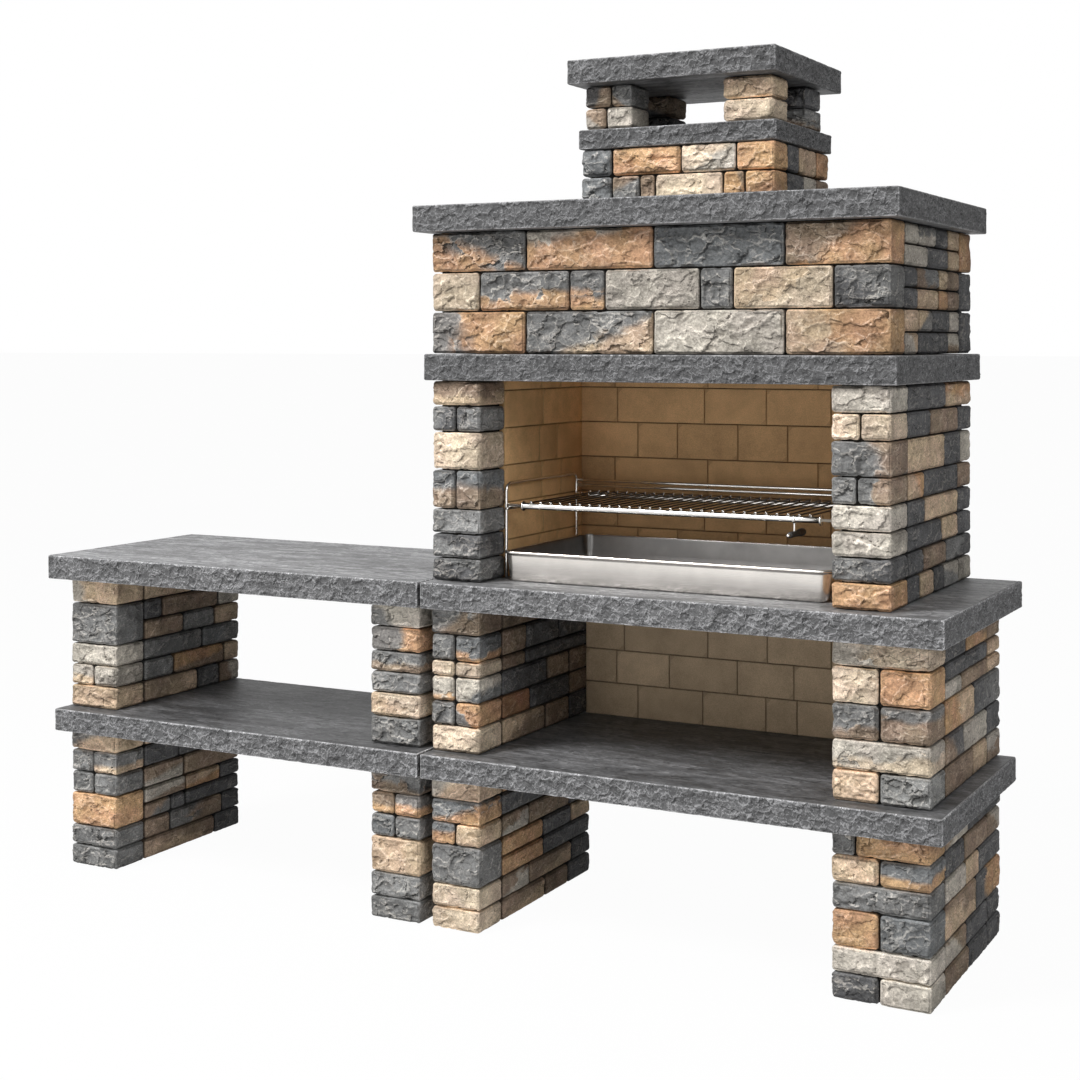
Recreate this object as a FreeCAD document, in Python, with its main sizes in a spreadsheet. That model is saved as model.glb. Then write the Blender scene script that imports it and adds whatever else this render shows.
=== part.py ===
"""Stone garden barbecue with a side table, laid from split stones, slate slabs and firebricks.

Front is -Y, the table stands to the left, and the floor is z = 0. Millimetres.
"""
import FreeCAD
import Part
import Sketcher
import math
import os
import re

doc = FreeCAD.newDocument("StoneBarbecue")
sheet = doc.addObject("Spreadsheet::Sheet", "Sizes")

SIZES = (
    # Slabs of the table and of the cooking unit
    ("worktop_height", 900),
    ("worktop_length", 1372),
    ("worktop_thickness", 68),
    ("table_length", 1264),
    ("table_depth", 660),
    ("shelf_height", 458),
    ("shelf_thickness", 63),
    ("shelf_back_inset", 57),
    ("shelf_end_inset", 3),
    ("table_shelf_depth", 640),
    ("table_shelf_inset", 26),
    ("slab_arris", 4),
    # Piers
    ("pier_setback", 58),
    ("pier_back_inset", 59),
    ("left_pier_width", 145),
    ("left_pier_inset", 6),
    ("right_pier_width", 236),
    ("right_pier_inset", 48),
    ("table_pier_depth", 575),
    ("table_outer_pier_width", 170),
    ("table_outer_pier_inset", 44),
    ("table_inner_pier_width", 154),
    ("table_inner_pier_inset", 28),
    ("corner_return", 125),
    ("stone_arris", 6),
    ("bed_joint", 0.3),
    # Firebox
    ("front_setback", 52),
    ("body_depth", 705),
    ("cheek_width", 145),
    ("cheek_inset", 12),
    ("opening_width", 932),
    ("firebox_height", 518),
    ("cheek_return", 135),
    ("lining_thickness", 45),
    ("lining_recess", 4),
    ("back_lining_thickness", 50),
    ("back_wall_thickness", 65),
    ("brick_course", 98),
    ("panel_thickness", 30),
    # Lintel and hood
    ("lintel_thickness", 68),
    ("lintel_overhang", 20),
    ("lintel_back_overhang", 36),
    ("throat_width", 720),
    ("throat_depth", 330),
    ("hood_height", 314),
    ("hood_wall", 110),
    ("hood_slab_thickness", 68),
    ("hood_slab_overhang", 36),
    ("hood_slab_back_overhang", 40),
    # Chimney
    ("chimney_width", 529),
    ("chimney_depth", 405),
    ("chimney_height", 143),
    ("chimney_wall", 95),
    ("chimney_shift", 10),
    ("collar_thickness", 50),
    ("collar_overhang", 9),
    ("post_width", 133),
    ("post_depth", 112),
    ("post_height", 113),
    ("post_inset", 8),
    ("post_back_inset", 40),
    ("cap_thickness", 62),
    ("cap_side_overhang", 22),
    ("cap_front_overhang", 50),
    # Charcoal tray
    ("tray_length", 887),
    ("tray_height", 75),
    ("tray_wall", 2),
    ("tray_draft", 7),
    ("tray_corner_radius", 18),
    ("tray_floor_edge", 8),
    ("tray_bead", 8),
    ("tray_bead_stand", 1.5),
    ("tray_setback", 115),
    ("tray_back_gap", 37),
    # Grate stand
    ("stand_wire", 8),
    ("stand_setback", 175),
    ("stand_back_gap", 61),
    ("stand_height", 248),
    ("stand_bend", 22),
    ("stand_wall_gap", 8),
    ("runner_front_reach", 14),
    ("upper_guard_drop", 18),
    ("lower_guard_drop", 32),
    # Grate
    ("grate_height", 192),
    ("grate_setback", 168),
    ("grate_back_gap", 25),
    ("tube_diameter", 16),
    ("pin_diameter", 9),
    ("pin_side_gap", 1),
    ("collar_ring_diameter", 26),
    ("collar_ring_width", 5),
    ("collar_ring_inset", 50),
    ("grate_wire", 4),
    ("grate_wire_pitch", 28),
    ("grate_wire_overhang", 10),
    # Drop handle
    ("handle_offset", 339),
    ("handle_wire", 5),
    ("handle_eye_shoulder", 0.8),
    ("handle_eye_wall", 2.2),
    ("handle_drop", 36),
    ("grip_length", 98),
    ("grip_front_length", 36),
    ("grip_front_diameter", 15),
    ("grip_rear_diameter", 19),
    ("grip_rear_length", 36),
    ("tip_length", 12),
    ("tip_diameter", 9),
    # Fits
    ("running_gap", 0.4),
    ("seat_gap", 0.3),
)

for row, (word, value) in enumerate(SIZES, 1):
    sheet.set(f"A{row}", word)
    sheet.set(f"B{row}", str(value))
    sheet.setAlias(f"B{row}", word)
doc.recompute()


def rule(text):
    """A formula on the sheet: every plain word in the text is one of its named sizes."""
    return re.sub(r"\b[a-z]\w*\b(?!\()", lambda word: "Sizes." + word.group(), text)


def value(text):
    """What a formula on the sheet comes to, in millimetres."""
    return float(sheet.evalExpression(rule(text)))


def bind(item, **formulas):
    """Tie properties of an item to the sheet; x, y and z are its place."""
    places = {"x": "Placement.Base.x", "y": "Placement.Base.y", "z": "Placement.Base.z"}
    for name, text in formulas.items():
        item.setExpression(places.get(name, name), rule(str(text)))
    return item


nodes = []


def node(label, item):
    """Name a finished sub-part, which is written under this label."""
    item.Label = label
    nodes.append(item)
    return item


# Levels and edges that several pieces share
JOINT_X = "((table_length - worktop_length) / 2)"
FRONT_Y = "(-(front_setback + body_depth + hood_slab_back_overhang) / 2)"
WORKTOP_UNDER = "(worktop_height - worktop_thickness)"
SHELF_UNDER = "(shelf_height - shelf_thickness)"
PIER_Y = f"({FRONT_Y} + pier_setback)"
BODY_X = f"({JOINT_X} + cheek_inset)"
BODY_Y = f"({FRONT_Y} + front_setback)"
BODY_WIDTH = "(opening_width + 2 * cheek_width)"
WORKTOP_DEPTH = "(front_setback + body_depth)"
PIER_DEPTH = f"({WORKTOP_DEPTH} - pier_setback - pier_back_inset)"
FIREBOX_REACH = f"({WORKTOP_DEPTH} - back_wall_thickness - back_lining_thickness)"
OPENING_X = f"({BODY_X} + cheek_width)"
MIDDLE_X = f"({OPENING_X} + opening_width / 2)"
LINTEL_UNDER = "(worktop_height + firebox_height)"
HOOD_Z = f"({LINTEL_UNDER} + lintel_thickness)"
HOOD_SLAB_Z = f"({HOOD_Z} + hood_height)"
CHIMNEY_X = f"({MIDDLE_X} + chimney_shift - chimney_width / 2)"
CHIMNEY_Y = f"({BODY_Y} + (body_depth - chimney_depth) / 2)"
CHIMNEY_Z = f"({HOOD_SLAB_Z} + hood_slab_thickness)"
COLLAR_Z = f"({CHIMNEY_Z} + chimney_height)"
POST_Z = f"({COLLAR_Z} + collar_thickness)"
CAP_Z = f"({POST_Z} + post_height)"


# Blocks with softened edges
FACE_MARKS = {
    "left": (0, 0), "right": (0, 1), "front": (1, 0), "back": (1, 1), "under": (2, 0), "top": (2, 1),
}
ALL_FACES = tuple(FACE_MARKS)


def edges_round(faces):
    """Numbers of the edges of a block that border one of the named faces."""
    numbers = []
    for number, edge in enumerate(Part.makeBox(1, 1, 1).Edges, 1):
        middle = edge.CenterOfMass
        marks = [FACE_MARKS[face] for face in faces]
        if any(abs(middle[axis] - level) < 0.01 for axis, level in marks):
            numbers.append(number)
    return numbers


def block(name, x, y, z, length, width, height):
    """A plain rectangular block; each argument is a formula on the sheet."""
    box = doc.addObject("Part::Box", name)
    return bind(box, x=x, y=y, z=z, Length=length, Width=width, Height=height)


def softened(name, base, faces, arris):
    """The block with a small flat taken off every edge that shows on the named faces."""
    item = doc.addObject("Part::Chamfer", name)
    item.Base = base
    item.Edges = [(number, arris, arris) for number in edges_round(faces)]
    return item


def group(label, pieces):
    """Separate solids that form one named sub-part."""
    item = doc.addObject("Part::Compound", label)
    item.Links = pieces
    return node(label, item)


def stone(name, place, extent, faces):
    """One laid stone or brick, a bed joint smaller than its space, softened where it shows."""
    sides = [f"({side}) - bed_joint" for side in extent]
    if not faces:
        return block(name, *place, *sides)
    return softened(name, block(name + "_block", *place, *sides), faces, value("stone_arris"))


def spans(weights):
    """Start and share of each weight along a run of length 1."""
    start = 0
    for weight in weights:
        yield start / sum(weights), weight / sum(weights)
        start += weight


# Piers and cheeks: a corner stone or two in front, then stones along the side, lift by lift
def lift_stones(name, place, extent, lift, build):
    """One lift: front stones as deep as the corner, then rows of stones of the skin's width."""
    (x, y, z), (width, depth, height) = place, extent
    _, fronts, rows = lift
    corner, skin, skin_x, open_sides = build
    pieces = []
    for number, (start, share) in enumerate(spans(fronts)):
        faces = ["front"]
        faces += ["left"] if number == 0 else []
        faces += ["right"] if number == len(fronts) - 1 else []
        spot = (f"{x} + {width} * {start}", y, z)
        room = (f"{width} * {share}", corner, height)
        pieces.append(stone(f"{name}_front{number}", spot, room, faces))
    for level, (low, tall) in enumerate(spans([1] * len(rows))):
        for number, (start, share) in enumerate(spans(rows[level])):
            run = f"({depth} - {corner})"
            spot = (skin_x, f"{y} + {corner} + {run} * {start}", f"{z} + ({height}) * {low}")
            room = (skin, f"{run} * {share}", f"({height}) * {tall}")
            pieces.append(stone(f"{name}_side{level}{number}", spot, room, open_sides))
    return pieces


def pier(label, place, extent, lifts, open_sides, corner="corner_return", skin=None, skin_x=None):
    """A stack of lifts, each given as its height, its front split and its rows along the side."""
    x, y, z = place
    width, depth, height = extent
    build = (corner, skin or width, skin_x or x, open_sides)
    pieces = []
    for number, (start, share) in enumerate(spans([lift[0] for lift in lifts])):
        spot = (x, y, f"{z} + {height} * {start}")
        room = (width, depth, f"{height} * {share}")
        name = f"{label}_{number}"
        pieces += lift_stones(name, spot, room, lifts[number], build)
    return group(label, pieces)


WHOLE = (1,)
HALVES = (48, 52)
LOWER = ("0", SHELF_UNDER)
UPPER = ("shelf_height", f"({WORKTOP_UNDER} - shelf_height)")


def pier_pair(label, x, width, depth, open_sides, lower, upper):
    """The same pier below and above the shelf."""
    for part, (z, height), lifts in (("lower", LOWER, lower), ("upper", UPPER, upper)):
        pier(f"{label}_{part}", (x, PIER_Y, z), (width, depth, height), lifts, open_sides)


pier_pair(
    "table_outer_pier", f"({JOINT_X} - table_length + table_outer_pier_inset)",
    "table_outer_pier_width", "table_pier_depth", ("left", "right"),
    lower=(
        (75, WHOLE, [(73, 27)]),
        (75, WHOLE, [(26, 55, 19)]),
        (120, WHOLE, [(27, 15, 58), (42, 37, 21)]),
        (80, HALVES, [(40, 60)]),
        (80, HALVES, [(35, 65)]),
        (80, WHOLE, [(45, 55)]),
    ),
    upper=(
        (80, WHOLE, [(55, 23, 22)]),
        (75, HALVES, [(30, 53, 17)]),
        (75, WHOLE, [(60, 40)]),
        (145, WHOLE, [(40, 33, 27), (18, 59, 23)]),
        (90, WHOLE, [(50, 50)]),
    ),
)
pier_pair(
    "table_inner_pier", f"({JOINT_X} - table_inner_pier_inset - table_inner_pier_width)",
    "table_inner_pier_width", "table_pier_depth", ("left",),
    lower=(
        (150, WHOLE, [(60, 40)]),
        (165, WHOLE, [(35, 65)]),
        (245, WHOLE, [(45, 55)]),
        (155, HALVES, [(62, 38)]),
        (150, HALVES, [(40, 60)]),
        (165, WHOLE, [(50, 50)]),
    ),
    upper=(
        (220, WHOLE, [(40, 60)]),
        (185, WHOLE, [(65, 35)]),
        (165, WHOLE, [(45, 55)]),
        (160, WHOLE, [(60, 40)]),
        (190, WHOLE, [(38, 62)]),
        (190, WHOLE, [(55, 45)]),
    ),
)
pier_pair(
    "left_pier", f"({JOINT_X} + left_pier_inset)", "left_pier_width", PIER_DEPTH, ("right",),
    lower=(
        (160, WHOLE, [(47, 27, 26)]),
        (165, WHOLE, [(29, 49, 22)]),
        (290, WHOLE, [(45, 55), (45, 32, 23)]),
        (160, HALVES, [(29, 46, 25)]),
        (170, WHOLE, [(50, 25, 25)]),
        (170, WHOLE, [(40, 60)]),
    ),
    upper=(
        (205, WHOLE, [(47, 28, 25)]),
        (185, HALVES, [(30, 45, 25)]),
        (195, HALVES, [(49, 26, 25)]),
        (120, HALVES, [(25, 75)]),
        (205, HALVES, [(26, 37, 37)]),
        (210, WHOLE, [(50, 50)]),
    ),
)
pier_pair(
    "right_pier", f"({JOINT_X} + worktop_length - right_pier_inset - right_pier_width)",
    "right_pier_width", PIER_DEPTH, ("left", "right"),
    lower=(
        (150, HALVES, [(41, 35, 24)]),
        (145, WHOLE, [(37, 39, 24)]),
        (205, HALVES, [(55, 45)]),
        (150, WHOLE, [(36, 23, 41)]),
        (150, HALVES, [(33, 43, 24)]),
        (150, (24, 76), [(40, 60)]),
    ),
    upper=(
        (180, HALVES, [(48, 27, 25)]),
        (175, WHOLE, [(32, 43, 25)]),
        (205, HALVES, [(51, 49)]),
        (210, HALVES, [(28, 48, 24), (35, 41, 24)]),
        (155, WHOLE, [(36, 39, 25)]),
    ),
)


# Slate slabs of the two units; they meet at the joint between table and barbecue
def slab(label, x, y, z, length, depth, thickness):
    """A slate slab with worn edges."""
    base = block(label + "_block", x, y, z, length, depth, thickness)
    return node(label, softened(label, base, ALL_FACES, value("slab_arris")))


slab(
    "table_shelf", f"{JOINT_X} - table_length + table_shelf_inset", FRONT_Y, SHELF_UNDER,
    "table_length - table_shelf_inset - bed_joint", "table_shelf_depth", "shelf_thickness",
)
slab(
    "main_shelf", JOINT_X, FRONT_Y, SHELF_UNDER,
    "worktop_length - shelf_end_inset", f"{WORKTOP_DEPTH} - shelf_back_inset", "shelf_thickness",
)
slab(
    "table_top", f"{JOINT_X} - table_length", FRONT_Y, WORKTOP_UNDER,
    "table_length - bed_joint", "table_depth", "worktop_thickness",
)
slab(
    "worktop", JOINT_X, FRONT_Y, WORKTOP_UNDER,
    "worktop_length", WORKTOP_DEPTH, "worktop_thickness",
)


# Cheeks of the firebox: corner stones as wide as the cheek, then an outer skin behind them
SKIN = "(cheek_width - lining_recess - lining_thickness)"
RIGHT_CHEEK_X = f"({OPENING_X} + opening_width)"
RIGHT_SKIN_X = f"({RIGHT_CHEEK_X} + cheek_width - {SKIN})"
CHEEK_EXTENT = ("cheek_width", "body_depth", "firebox_height")

pier(
    "left_cheek", (BODY_X, BODY_Y, "worktop_height"), CHEEK_EXTENT,
    (
        (61, WHOLE, [(45, 55)]),
        (63, WHOLE, [(60, 40)]),
        (64, WHOLE, [(35, 65)]),
        (101, HALVES, [(52, 48)]),
        (99, WHOLE, [(38, 62)]),
        (67, HALVES, [(57, 43)]),
        (66, WHOLE, [(44, 56)]),
    ),
    open_sides=("left",), corner="cheek_return", skin=SKIN,
)
pier(
    "right_cheek", (RIGHT_CHEEK_X, BODY_Y, "worktop_height"), CHEEK_EXTENT,
    (
        (63, WHOLE, [(18, 21, 16, 24, 21)]),
        (58, WHOLE, [(23, 36, 41)]),
        (60, WHOLE, [(52, 26, 22)]),
        (61, WHOLE, [(25, 53, 22)]),
        (64, (42, 58), [(24, 54, 22)]),
        (83, WHOLE, [(56, 26, 18)]),
        (63, HALVES, [(34, 44, 22)]),
        (65, WHOLE, [(58, 42)]),
    ),
    open_sides=("right",), corner="cheek_return", skin=SKIN, skin_x=RIGHT_SKIN_X,
)


# Back wall of stone and the firebrick lining inside it
def wall_courses(label, place, extent, courses, weights, faces, laid):
    """A straight wall: each course a run of blocks along X or Y, with the given split."""
    x, y, z = place
    length, thickness, height = extent
    pieces = []
    for level, (low, tall) in enumerate(spans(weights)):
        splits = courses[level % len(courses)]
        for number, (start, share) in enumerate(spans(splits)):
            spot = (f"{x} + {length} * {start}", y, f"{z} + {height} * {low}")
            room = (f"{length} * {share}", thickness, f"{height} * {tall}")
            if laid == "along_y":
                spot = (x, f"{y} + {length} * {start}", spot[2])
                room = (thickness, room[0], room[2])
            pieces.append(stone(f"{label}_{level}{number}", spot, room, faces))
    return group(label, pieces)


def brick_levels(height):
    """Full brick courses from the bottom, and a cut course that fills what is left."""
    course = value("brick_course")
    count = int(height // course)
    return [course] * count + [height - count * course]


BACK_LINING_Y = f"({FRONT_Y} + {FIREBOX_REACH})"
BACK_WALL_Y = f"({BODY_Y} + body_depth - back_wall_thickness)"
BACK_X = f"({BODY_X} + {SKIN})"
BACK_LENGTH = f"({BODY_WIDTH} - 2 * {SKIN})"
SIDE_LINING_Y = f"({BODY_Y} + cheek_return)"
SIDE_LINING_LENGTH = f"({BACK_LINING_Y} - {SIDE_LINING_Y})"
FIREBOX_BRICKS = brick_levels(value("firebox_height"))

wall_courses(
    "back_wall", (BACK_X, BACK_WALL_Y, "worktop_height"),
    (BACK_LENGTH, "back_wall_thickness", "firebox_height"),
    ((30, 42, 28), (22, 33, 45), (38, 28, 34)), (61, 127, 101, 99, 130), ("back",), "along_x",
)
wall_courses(
    "back_lining", (BACK_X, BACK_LINING_Y, "worktop_height"),
    (BACK_LENGTH, "back_lining_thickness", "firebox_height"),
    ((219, 120, 179, 143, 180, 189), (156, 264, 180, 182, 248), (148, 282, 316, 284)),
    FIREBOX_BRICKS, (), "along_x",
)
for side, lining_x in (
    ("left", f"({BODY_X} + {SKIN})"),
    ("right", f"({RIGHT_SKIN_X} - lining_thickness)"),
):
    wall_courses(
        f"{side}_lining", (lining_x, SIDE_LINING_Y, "worktop_height"),
        (SIDE_LINING_LENGTH, "lining_thickness", "firebox_height"),
        ((195, 105, 155), (218, 237), (210, 113, 132)), FIREBOX_BRICKS, (), "along_y",
    )
PANEL_X = f"({JOINT_X} + left_pier_inset + left_pier_width)"
PANEL_LENGTH = f"({JOINT_X} + worktop_length - right_pier_inset - right_pier_width - {PANEL_X})"
wall_courses(
    "compartment_back", (PANEL_X, f"{PIER_Y} + {PIER_DEPTH} - panel_thickness", "shelf_height"),
    (PANEL_LENGTH, "panel_thickness", UPPER[1]),
    ((164, 197, 185, 89, 180, 122), (98, 162, 203, 163, 150, 161), (122, 254, 174, 181, 206)),
    (1, 1, 1, 1), (), "along_x",
)


# Lintel, hood and chimney: rings of stone between slabs with an opening for the smoke
def holed_slab(label, place, extent, hole_place, hole_extent):
    """A slate slab with a rectangular way through it for the smoke."""
    base = block(label + "_block", *place, *extent)
    outer = softened(label + "_slab", base, ALL_FACES, value("slab_arris"))
    hole = block(label + "_hole", *hole_place, place[2], *hole_extent, extent[2])
    cut = doc.addObject("Part::Cut", label)
    cut.Base = outer
    cut.Tool = hole
    return node(label, cut)


def ring_wall(name, place, extent, wall, front, sides, back):
    """One ring of stones: a front and a back run, and rows between them on both sides."""
    (x, y, z), (width, depth, height) = place, extent
    pieces = []
    runs = (("front", y, front), ("back", f"{y} + {depth} - {wall}", back))
    for face, run_y, weights in runs:
        for number, (start, share) in enumerate(spans(weights)):
            faces = [face]
            faces += ["left"] if number == 0 else []
            faces += ["right"] if number == len(weights) - 1 else []
            spot = (f"{x} + {width} * {start}", run_y, z)
            room = (f"{width} * {share}", wall, height)
            pieces.append(stone(f"{name}_{face}{number}", spot, room, faces))
    inner = f"({depth} - 2 * {wall})"
    for face, side_x in (("left", x), ("right", f"{x} + {width} - {wall}")):
        for level, (low, tall) in enumerate(spans([1] * len(sides))):
            for number, (start, share) in enumerate(spans(sides[level])):
                spot = (side_x, f"{y} + {wall} + {inner} * {start}", f"{z} + ({height}) * {low}")
                room = (wall, f"{inner} * {share}", f"({height}) * {tall}")
                pieces.append(stone(f"{name}_{face}{level}{number}", spot, room, (face,)))
    return pieces


def ring_courses(label, place, extent, wall, courses):
    """Stacked rings, each its own named course: its height, front, sides and back."""
    x, y, z = place
    width, depth, height = extent
    for number, (start, share) in enumerate(spans([course[1] for course in courses])):
        name, _, front, sides, back = courses[number]
        spot = (x, y, f"{z} + {height} * {start}")
        room = (width, depth, f"{height} * {share}")
        group(f"{label}_{name}", ring_wall(f"{label}_{name}", spot, room, wall, front, sides, back))


holed_slab(
    "lintel",
    (f"{BODY_X} - lintel_overhang", f"{BODY_Y} - lintel_overhang", LINTEL_UNDER),
    (
        f"{BODY_WIDTH} + 2 * lintel_overhang",
        "body_depth + lintel_overhang + lintel_back_overhang", "lintel_thickness",
    ),
    (f"{MIDDLE_X} - throat_width / 2", f"{BACK_LINING_Y} - throat_depth"),
    ("throat_width", "throat_depth"),
)
ring_courses(
    "hood", (BODY_X, BODY_Y, HOOD_Z), (BODY_WIDTH, "body_depth", "hood_height"), "hood_wall",
    (
        (
            "lower_course", 109, (273, 351, 335, 257),
            [(23, 37, 18, 22), (25, 24, 32, 19)], (300, 320, 280, 316),
        ),
        (
            "middle_course", 101, (140, 256, 97, 252, 85, 247, 139),
            [(22, 38, 17, 23), (22, 39, 16, 23)], (210, 330, 280, 396),
        ),
        (
            "upper_course", 104, (273, 351, 335, 257),
            [(40, 38, 22), (24, 31, 23, 22)], (330, 260, 340, 286),
        ),
    ),
)
holed_slab(
    "hood_slab",
    (f"{BODY_X} - hood_slab_overhang", FRONT_Y, HOOD_SLAB_Z),
    (
        f"{BODY_WIDTH} + 2 * hood_slab_overhang",
        f"{WORKTOP_DEPTH} + hood_slab_back_overhang", "hood_slab_thickness",
    ),
    (f"{CHIMNEY_X} + chimney_wall", f"{CHIMNEY_Y} + chimney_wall"),
    ("chimney_width - 2 * chimney_wall", "chimney_depth - 2 * chimney_wall"),
)
ring_courses(
    "chimney", (CHIMNEY_X, CHIMNEY_Y, CHIMNEY_Z),
    ("chimney_width", "chimney_depth", "chimney_height"), "chimney_wall",
    (
        ("lower_course", 1, (87, 78, 42, 184, 57, 81), [(55, 45)], (190, 140, 199)),
        ("upper_course", 1, (87, 191, 148, 103), [(40, 60)], (130, 210, 189)),
    ),
)
holed_slab(
    "chimney_collar",
    (f"{CHIMNEY_X} - collar_overhang", f"{CHIMNEY_Y} - collar_overhang", COLLAR_Z),
    (
        "chimney_width + 2 * collar_overhang", "chimney_depth + 2 * collar_overhang",
        "collar_thickness",
    ),
    (f"{CHIMNEY_X} + chimney_wall", f"{CHIMNEY_Y} + chimney_wall"),
    ("chimney_width - 2 * chimney_wall", "chimney_depth - 2 * chimney_wall"),
)


def post(label, x, y, levels):
    """A short chimney post: each level is one stone or two side by side."""
    pieces = []
    for level, (low, tall) in enumerate(spans([1] * len(levels))):
        for number, (start, share) in enumerate(spans(levels[level])):
            faces = ["front", "back"]
            faces += ["left"] if number == 0 else []
            faces += ["right"] if number == len(levels[level]) - 1 else []
            spot = (f"{x} + post_width * {start}", y, f"{POST_Z} + post_height * {low}")
            room = (f"post_width * {share}", "post_depth", f"post_height * {tall}")
            pieces.append(stone(f"{label}_{level}{number}", spot, room, faces))
    return group(label, pieces)


POST_LEFT = f"{CHIMNEY_X} + post_inset"
POST_RIGHT = f"{CHIMNEY_X} + chimney_width - post_inset - post_width"
POST_FRONT = f"{CHIMNEY_Y} + post_inset"
POST_BACK = f"{CHIMNEY_Y} + chimney_depth - post_back_inset - post_depth"
post("front_left_post", POST_LEFT, POST_FRONT, ((45, 55), (55, 45)))
post("front_right_post", POST_RIGHT, POST_FRONT, ((1,), (1,)))
post("back_left_post", POST_LEFT, POST_BACK, ((1,), (1,)))
post("back_right_post", POST_RIGHT, POST_BACK, ((1,), (1,)))
slab(
    "chimney_cap", f"{CHIMNEY_X} - cap_side_overhang", f"{CHIMNEY_Y} - cap_front_overhang", CAP_Z,
    "chimney_width + 2 * cap_side_overhang", "chimney_depth + 2 * cap_front_overhang", "cap_thickness",
)


# Wire and round bar: straight runs, quarter bends, turned fits, and what is welded from them
X_AXIS = FreeCAD.Vector(1, 0, 0)
Y_AXIS = FreeCAD.Vector(0, 1, 0)
Z_AXIS = FreeCAD.Vector(0, 0, 1)
BAR_FLAT_COUNT = 8
THIN_WIRE_FLAT_COUNT = 6
STOUT_BAR_FLAT_COUNT = 12


def rod(name, direction, x, y, z, length, diameter, flats=BAR_FLAT_COUNT):
    """A straight bar from a point along X, Y or Z, drawn with a few flats to stay light."""
    item = doc.addObject("Part::Prism", name)
    item.Polygon = flats
    item.Placement.Rotation = FreeCAD.Rotation(Z_AXIS, direction)
    return bind(item, x=x, y=y, z=z, Height=length, Circumradius=f"({diameter}) / 2")


def turned(name, direction, x, y, z, length, diameter):
    """A truly round bar or bore, where something turns on it."""
    item = doc.addObject("Part::Cylinder", name)
    item.Placement.Rotation = FreeCAD.Rotation(Z_AXIS, direction)
    return bind(item, x=x, y=y, z=z, Height=length, Radius=f"({diameter}) / 2")


def bend(name, start, end, centre, radius, diameter):
    """A quarter bend of wire about a centre, from the start direction round to the end direction."""
    section = doc.addObject("Part::RegularPolygon", name + "_section")
    section.Polygon = BAR_FLAT_COUNT
    section.Placement.Rotation = FreeCAD.Rotation(Z_AXIS, end)
    x, y, z = [f"{middle} + {out} * {radius}" for middle, out in zip(centre, start)]
    bind(section, x=x, y=y, z=z, Circumradius=f"({diameter}) / 2")
    item = doc.addObject("Part::Revolution", name)
    item.Source = section
    item.Axis = start.cross(end)
    item.Angle = 90
    item.Solid = True
    for axis, middle in zip("xyz", centre):
        item.setExpression("Base." + axis, rule(middle))
    return item


def joined(label, pieces):
    """Pieces welded into one solid."""
    item = doc.addObject("Part::MultiFuse", label)
    item.Shapes = pieces
    return item


# Charcoal tray: drawn sheet steel with sloping walls, round corners and a rolled rim
TRAY_DEPTH = f"({FIREBOX_REACH} - tray_setback - tray_back_gap)"
TRAY_Y = f"({FRONT_Y} + tray_setback + {TRAY_DEPTH} / 2)"
TRAY_Z = "(worktop_height + seat_gap)"
RIM_OUT = "(tray_bead_stand + tray_bead / 2)"
SLOPE = "(tray_height * tan(tray_draft))"
WALL_IN = "(tray_wall / cos(tray_draft) - tray_wall * tan(tray_draft))"
CORNERS = ((1, -1), (1, 1), (-1, 1), (-1, -1))


def rounded_rectangle(body, name, length, depth, radius):
    """A rectangle with round corners about the body's origin, all of it tied to the sheet."""
    sketch = body.newObject("Sketcher::SketchObject", name)
    origin_planes = body.Origin.OriginFeatures
    sketch.AttachmentSupport = (next(item for item in origin_planes if item.Role == "XY_Plane"), [""])
    sketch.MapMode = "FlatFace"
    turn = value(radius)
    centres = [
        FreeCAD.Vector(right * (value(length) / 2 - turn), back * (value(depth) / 2 - turn), 0)
        for right, back in CORNERS
    ]
    for number, centre in enumerate(centres):
        arc = Part.Circle(centre, Z_AXIS, turn)
        first = math.radians(90 * (number - 1))
        sketch.addGeometry(Part.ArcOfCircle(arc, first, first + math.radians(90)))
    for number, centre in enumerate(centres):
        out = (Y_AXIS * -1, X_AXIS, Y_AXIS, X_AXIS * -1)[number] * turn
        sketch.addGeometry(Part.LineSegment(centres[number - 1] + out, centre + out))
    return hold_shape(sketch, length, depth, radius)


def hold_shape(sketch, length, depth, radius):
    """Constraints of the round-cornered rectangle: arcs 0 to 3, then the run before each arc."""
    for number in range(4):
        run, after = 4 + number, 4 + (number + 1) % 4
        sketch.addConstraint(Sketcher.Constraint("Tangent", run, 2, number, 1))
        sketch.addConstraint(Sketcher.Constraint("Tangent", number, 2, after, 1))
        sketch.addConstraint(Sketcher.Constraint("Vertical" if number % 2 else "Horizontal", run))
    for number in range(1, 4):
        sketch.addConstraint(Sketcher.Constraint("Equal", 0, number))
    sketch.addConstraint(Sketcher.Constraint("Symmetric", 4, 1, 6, 1, -1, 1))
    sizes = (
        ("length", Sketcher.Constraint("DistanceX", 7, 1, 5, 1, value(length)), length),
        ("depth", Sketcher.Constraint("DistanceY", 4, 1, 6, 1, value(depth)), depth),
        ("corner", Sketcher.Constraint("Radius", 0, value(radius)), radius),
    )
    for name, constraint, formula in sizes:
        sketch.renameConstraint(sketch.addConstraint(constraint), name)
        sketch.setExpression("Constraints." + name, rule(formula))
    return sketch


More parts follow.
